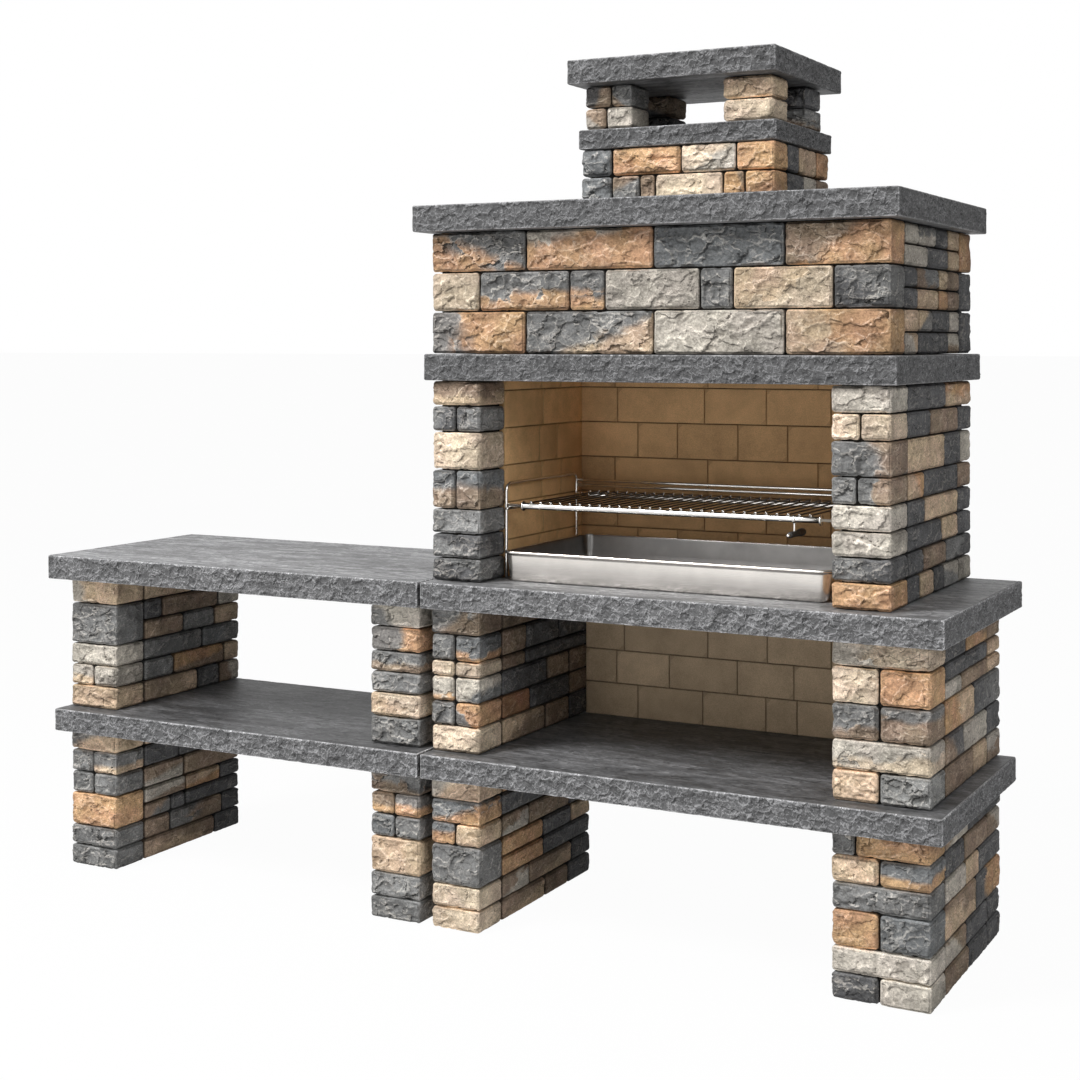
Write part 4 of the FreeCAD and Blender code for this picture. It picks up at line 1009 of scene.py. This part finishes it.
for side in ("left", "right"):
    stand_bar(side + "_hoop_bar", hoop_path(side + "_hoop"), side + "_hoop")
    stand_bar(side + "_runner_bar", straight_path(side + "_runner", 1), side + "_runner")
for level in ("upper", "lower"):
    stand_bar(level + "_rail_bar", straight_path(level + "_guard_rail", 0), level + "_guard_rail")


# Grate
# Two turned bars with collars and pin ends, and straight wires welded across them, all of stainless steel.
# The grate lies loose on its runners.
def turned_mesh(name, profile, axis, start, material, sides=24):
    """A piece turned on a lathe: profile points are distance along the axis and radius."""
    way, first, second = (np.eye(3)[(axis + number) % 3] for number in range(3))
    rows = np.array([[np.array(start) + way * along + radius * (c * first + s * second)
                      for c, s in arc(0, 360, sides + 1)[:-1]] for along, radius in profile])
    return closed_mesh(name, rows.reshape(-1, 3), grid_faces(len(rows), sides, 0), material)


def cross_bars():
    """The front and the back bar, each with a pin and a collar at both ends."""
    pin, tube, collar = 0.0045, 0.008, 0.013
    collar_inset, half, ease = 0.050, 0.0025, 0.0012
    near, far = collar_inset - half, collar_inset + half
    pin_end = [(0, 0.002), (0.0015, pin - 0.0005), (0.003, pin), (near - 0.001, pin)]
    ring = [(near, collar - 0.0015), (near + ease, collar), (far - ease, collar), (far, collar - 0.0015)]
    left = pin_end + ring + [(far + 0.0008, tube), (collar_inset + 0.06, tube)]
    for place in ("front", "back"):
        lo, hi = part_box(f"grate_{place}_bar")
        long = hi.x - lo.x
        profile = left + [(long - along, radius) for along, radius in reversed(left)]
        start = (lo.x, (lo.y + hi.y) / 2, (lo.z + hi.z) / 2)
        bar = turned_mesh(f"{place}_bar", profile, 0, start, bar_steel)
        finished(f"{place}_bar", bar, "grate", "steel_bar", f"grate_{place}_bar")


cross_bars()
# Painted reflection: the wires are given a dark colour for the dark firebox that they mirror.
wire_steel_dark_reflection = steel_material("wire_steel_dark_reflection", shade(72, 66, 60), 0.36, (220.0, 12.0, 220.0), 0.15)


def wire_tree():
    """Geometry Nodes for the grate's wires: one wire with a weld at both ends, repeated at a pitch."""
    tree, given = new_tree("grate_wires", {
        "Wire radius": "Float", "Wire length": "Float", "Weld radius": "Float", "Weld inset": "Float",
        "Pitch": "Float", "Count": "Int", "First place": "Vector",
        "Wire material": "Material", "Weld material": "Material",
    })

    def along(axis, distance):
        return add_node(tree, "ShaderNodeCombineXYZ", {axis: distance}).outputs[0]

    def shape(kind, inputs, **settings):
        return add_node(tree, "GeometryNode" + kind, inputs, **settings).outputs[0]

    line = shape("CurvePrimitiveLine", {"End": along("Y", given["Wire length"])})
    section = shape("CurvePrimitiveCircle", {"Resolution": 10, "Radius": given["Wire radius"]})
    wire = shape("CurveToMesh", {0: line, 1: section, "Fill Caps": True})
    between = reckon(tree, "MULTIPLY_ADD", given["Weld inset"], -2.0, given["Wire length"])
    first_weld, to_other = along("Y", given["Weld inset"]), along("Y", between)
    ends = shape("MeshLine", {"Count": 2, "Start Location": first_weld, "Offset": to_other})
    bead = shape("MeshIcoSphere", {"Radius": given["Weld radius"], "Subdivisions": 2})
    bead = shape("StoreNamedAttribute", {"Geometry": bead, "Name": "weld", "Value": 1.0}, domain="FACE")
    welds = shape("InstanceOnPoints", {"Points": ends, "Instance": bead})
    both = add_node(tree, "GeometryNodeJoinGeometry")
    for part in (wire, welds):
        tree.links.new(part, both.inputs[0])
    step = along("X", given["Pitch"])
    row = shape("MeshLine", {"Count": given["Count"], "Start Location": given["First place"], "Offset": step})
    placed = shape("InstanceOnPoints", {"Points": row, "Instance": both.outputs[0]})
    whole = shape("RealizeInstances", {0: placed})
    whole = shape("SetMaterial", {0: whole, "Material": given["Wire material"]})
    welded = shape("InputNamedAttribute", {"Name": "weld"})
    whole = shape("SetMaterial", {0: whole, "Selection": welded, "Material": given["Weld material"]})
    add_node(tree, "NodeGroupOutput", {0: whole})
    return tree


def wires():
    """All the wires, as many and as far apart as in the frame."""
    places = sorted(float(lo[0] + hi[0]) / 2 for lo, hi in blocks_of("grate_wires"))
    lo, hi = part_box("grate_wires")
    chosen = {
        "Wire radius": 0.002, "Wire length": hi.y - lo.y, "Weld radius": 0.0042, "Weld inset": 0.0042,
        "Pitch": places[1] - places[0], "Count": len(places),
        "First place": (places[0], lo.y, (lo.z + hi.z) / 2),
        "Wire material": wire_steel_dark_reflection, "Weld material": bar_steel,
    }
    mesh = baked("wires", bpy.data.meshes.new("wires"), wire_tree(), chosen)
    finished("wires", mesh, "grate", "steel_bar", "grate_wires")


wires()


# Drop handle
# A steel wire arm hangs from the front bar by an eye and turns on it. It carries a black heat-proof grip with
# rings, pressed on the arm, and a steel tip.
def grip_material():
    """Black moulded grip, slightly greasy, with a fine grain."""
    material, tree, shader = shader_tree("grip")
    place = add_node(tree, "ShaderNodeTexCoord").outputs["Object"]
    cloud = noise(tree, place, 90.0, 4.0)
    fine = noise(tree, place, 900.0, 3.0)
    set_inputs(tree, shader, {
        "Base Color": blended(tree, cloud, shade(20, 20, 21), shade(42, 41, 40)),
        "Roughness": ramp(tree, cloud, 0.3, 0.7, 0.34, 0.5), "Normal": bumped(tree, fine, 0.25, 0.0004),
    })
    return material


def handle_eye():
    """The eye round the front bar and the arm below it; returns where the arm stands."""
    bore, ease, sides = 0.0084, 0.0008, 28
    arm_radius, arm_gap = 0.0025, 0.0002
    lo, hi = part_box("handle_wire")
    x, y = (lo.x + hi.x) / 2, (lo.y + hi.y) / 2
    outer, half = (hi.y - lo.y) / 2, (hi.x - lo.x) / 2
    middle = hi.z - outer
    left = [(-half + ease, bore), (-half, bore + ease), (-half, outer - ease), (-half + ease, outer)]
    profile = left + [(-along, radius) for along, radius in reversed(left)]
    turns = arc(0, 360, sides + 1)[:-1]
    rows = np.array([[(x + along, y + radius * c, middle + radius * s) for c, s in turns]
                     for along, radius in profile])
    index = np.arange(len(profile) * sides).reshape(-1, sides)
    after = np.roll(index, -1, axis=0)
    ring = np.stack((index, np.roll(index, -1, axis=1), np.roll(after, -1, axis=1), after), axis=-1)
    eye = closed_mesh("handle_eye", rows.reshape(-1, 3), ring.reshape(-1, 4).tolist(), bar_steel)
    finished("handle_eye", eye, "grate_handle", "steel_bar", "handle_wire")
    drop = np.linspace(lo.z, middle - bore - arm_gap, 5)
    arm = bar_mesh("handle_arm", [(x, y, z) for z in drop], arm_radius, bar_steel)
    finished("handle_arm", arm, "grate_handle", "steel_bar")
    return x


def grip(x):
    """The ringed grip and its tip, in line with the arm."""
    thin, thick, groove = 0.0074, 0.0094, 0.0008
    first_ring, last_ring, ring_pitch = 0.006, 0.063, 0.0066
    lo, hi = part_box("handle_grip")
    long, z = hi.y - lo.y, (lo.z + hi.z) / 2
    profile = [(0, 0.0035), (0.001, 0.0062), (0.003, thin)]
    for along in np.arange(first_ring, last_ring, ring_pitch):
        profile += [(along, thin), (along + 0.001, thin - groove)]
        profile += [(along + 0.0022, thin - groove), (along + 0.0032, thin)]
    profile += [(0.068, thin), (0.073, 0.0088), (0.079, thick)]
    profile += [(long - 0.006, thick), (long - 0.002, 0.0086), (long, 0.006)]
    barrel = turned_mesh("grip", profile, 1, (x, lo.y, z), grip_material())
    finished("grip", barrel, "grate_handle", "grip", "handle_grip")
    lo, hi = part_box("handle_tip")
    long = hi.y - lo.y
    profile = [(0, 0.0015), (0.0008, 0.003), (0.0025, 0.0042), (0.005, 0.0045)]
    profile += [(long - 0.002, 0.0045), (long - 0.001, 0.0038), (long, 0.0038)]
    tip = turned_mesh("grip_tip", profile, 1, (x, lo.y, z), bar_steel)
    finished("grip_tip", tip, "grate_handle", "steel_bar", "handle_tip")


grip(handle_eye())


# Studio
# A white floor that keeps a faint shadow, soft light from the front and above, and the camera where the
# photograph was taken from.
def seen_directly(tree):
    """1 where the camera sees a surface, also through a mirror or glass."""
    path = add_node(tree, "ShaderNodeLightPath").outputs
    direct = reckon(tree, "MAXIMUM", path["Is Camera Ray"], path["Is Glossy Ray"])
    return reckon(tree, "MAXIMUM", direct, path["Is Transmission Ray"])


def floor():
    """A wide floor that is nearly white to the camera and light grey to the lamps."""
    whiteness = 0.97
    bpy.ops.mesh.primitive_plane_add(size=400)
    plane = bpy.context.object
    plane.name = "floor"
    material, tree, shader = shader_tree("floor")
    set_inputs(tree, shader, {"Base Color": (0.8, 0.8, 0.8, 1), "Roughness": 0.9})
    white = add_node(tree, "ShaderNodeEmission", {"Color": (1, 1, 1, 1), "Strength": 1.0})
    share = reckon(tree, "MULTIPLY", seen_directly(tree), whiteness)
    mixed = add_node(tree, "ShaderNodeMixShader", {0: share, 1: shader.outputs[0], 2: white.outputs[0]})
    set_inputs(tree, tree.nodes["Material Output"], {"Surface": mixed.outputs[0]})
    plane.data.materials.append(material)


# Place, size and watts of each soft lamp
LAMPS = {
    "key": ((-2.4, -4.4, 5.7), 2.4, 500), "fill": ((4.8, -3.4, 4.2), 2.6, 114),
    "front": ((0.0, -5.4, 1.3), 2.4, 46), "top": ((-0.4, -0.8, 6.2), 3.5, 40),
}


def studio_light():
    """A surround that is white to the camera and dim as a light, and soft lamps that aim at the part."""
    around, aim = 0.1, np.array((0.2, 0.0, 0.9))
    scene = bpy.context.scene
    scene.world = bpy.data.worlds.new("studio")
    scene.world.use_nodes = True
    tree = scene.world.node_tree
    strength = reckon(tree, "MULTIPLY_ADD", seen_directly(tree), 1 - around, around)
    set_inputs(tree, tree.nodes["Background"], {"Color": (1, 1, 1, 1), "Strength": strength})
    for name, (place, size, power) in LAMPS.items():
        lamp = bpy.data.lights.new(name, "AREA")
        lamp.size = size
        lamp.energy = power
        item = bpy.data.objects.new(name, lamp)
        item.location = place
        way = aim - np.array(place)
        pitch = math.atan2(math.hypot(way[0], way[1]), -way[2])
        item.rotation_euler = (pitch, 0, math.atan2(way[1], way[0]) - math.pi / 2)
        scene.collection.objects.link(item)


def camera():
    """The camera fitted to the photograph, level and shifted down."""
    lens = bpy.data.cameras.new("camera")
    lens.lens = 59.91
    lens.sensor_width = 36.0
    lens.shift_y = -0.1827
    item = bpy.data.objects.new("camera", lens)
    item.location = (2.3843, -4.3295, 1.5152)
    item.rotation_euler = (math.radians(90), 0, math.radians(27.9021))
    bpy.context.scene.collection.objects.link(item)
    bpy.context.scene.camera = item


floor()
studio_light()
camera()
bpy.context.scene.view_settings.view_transform = "Standard"
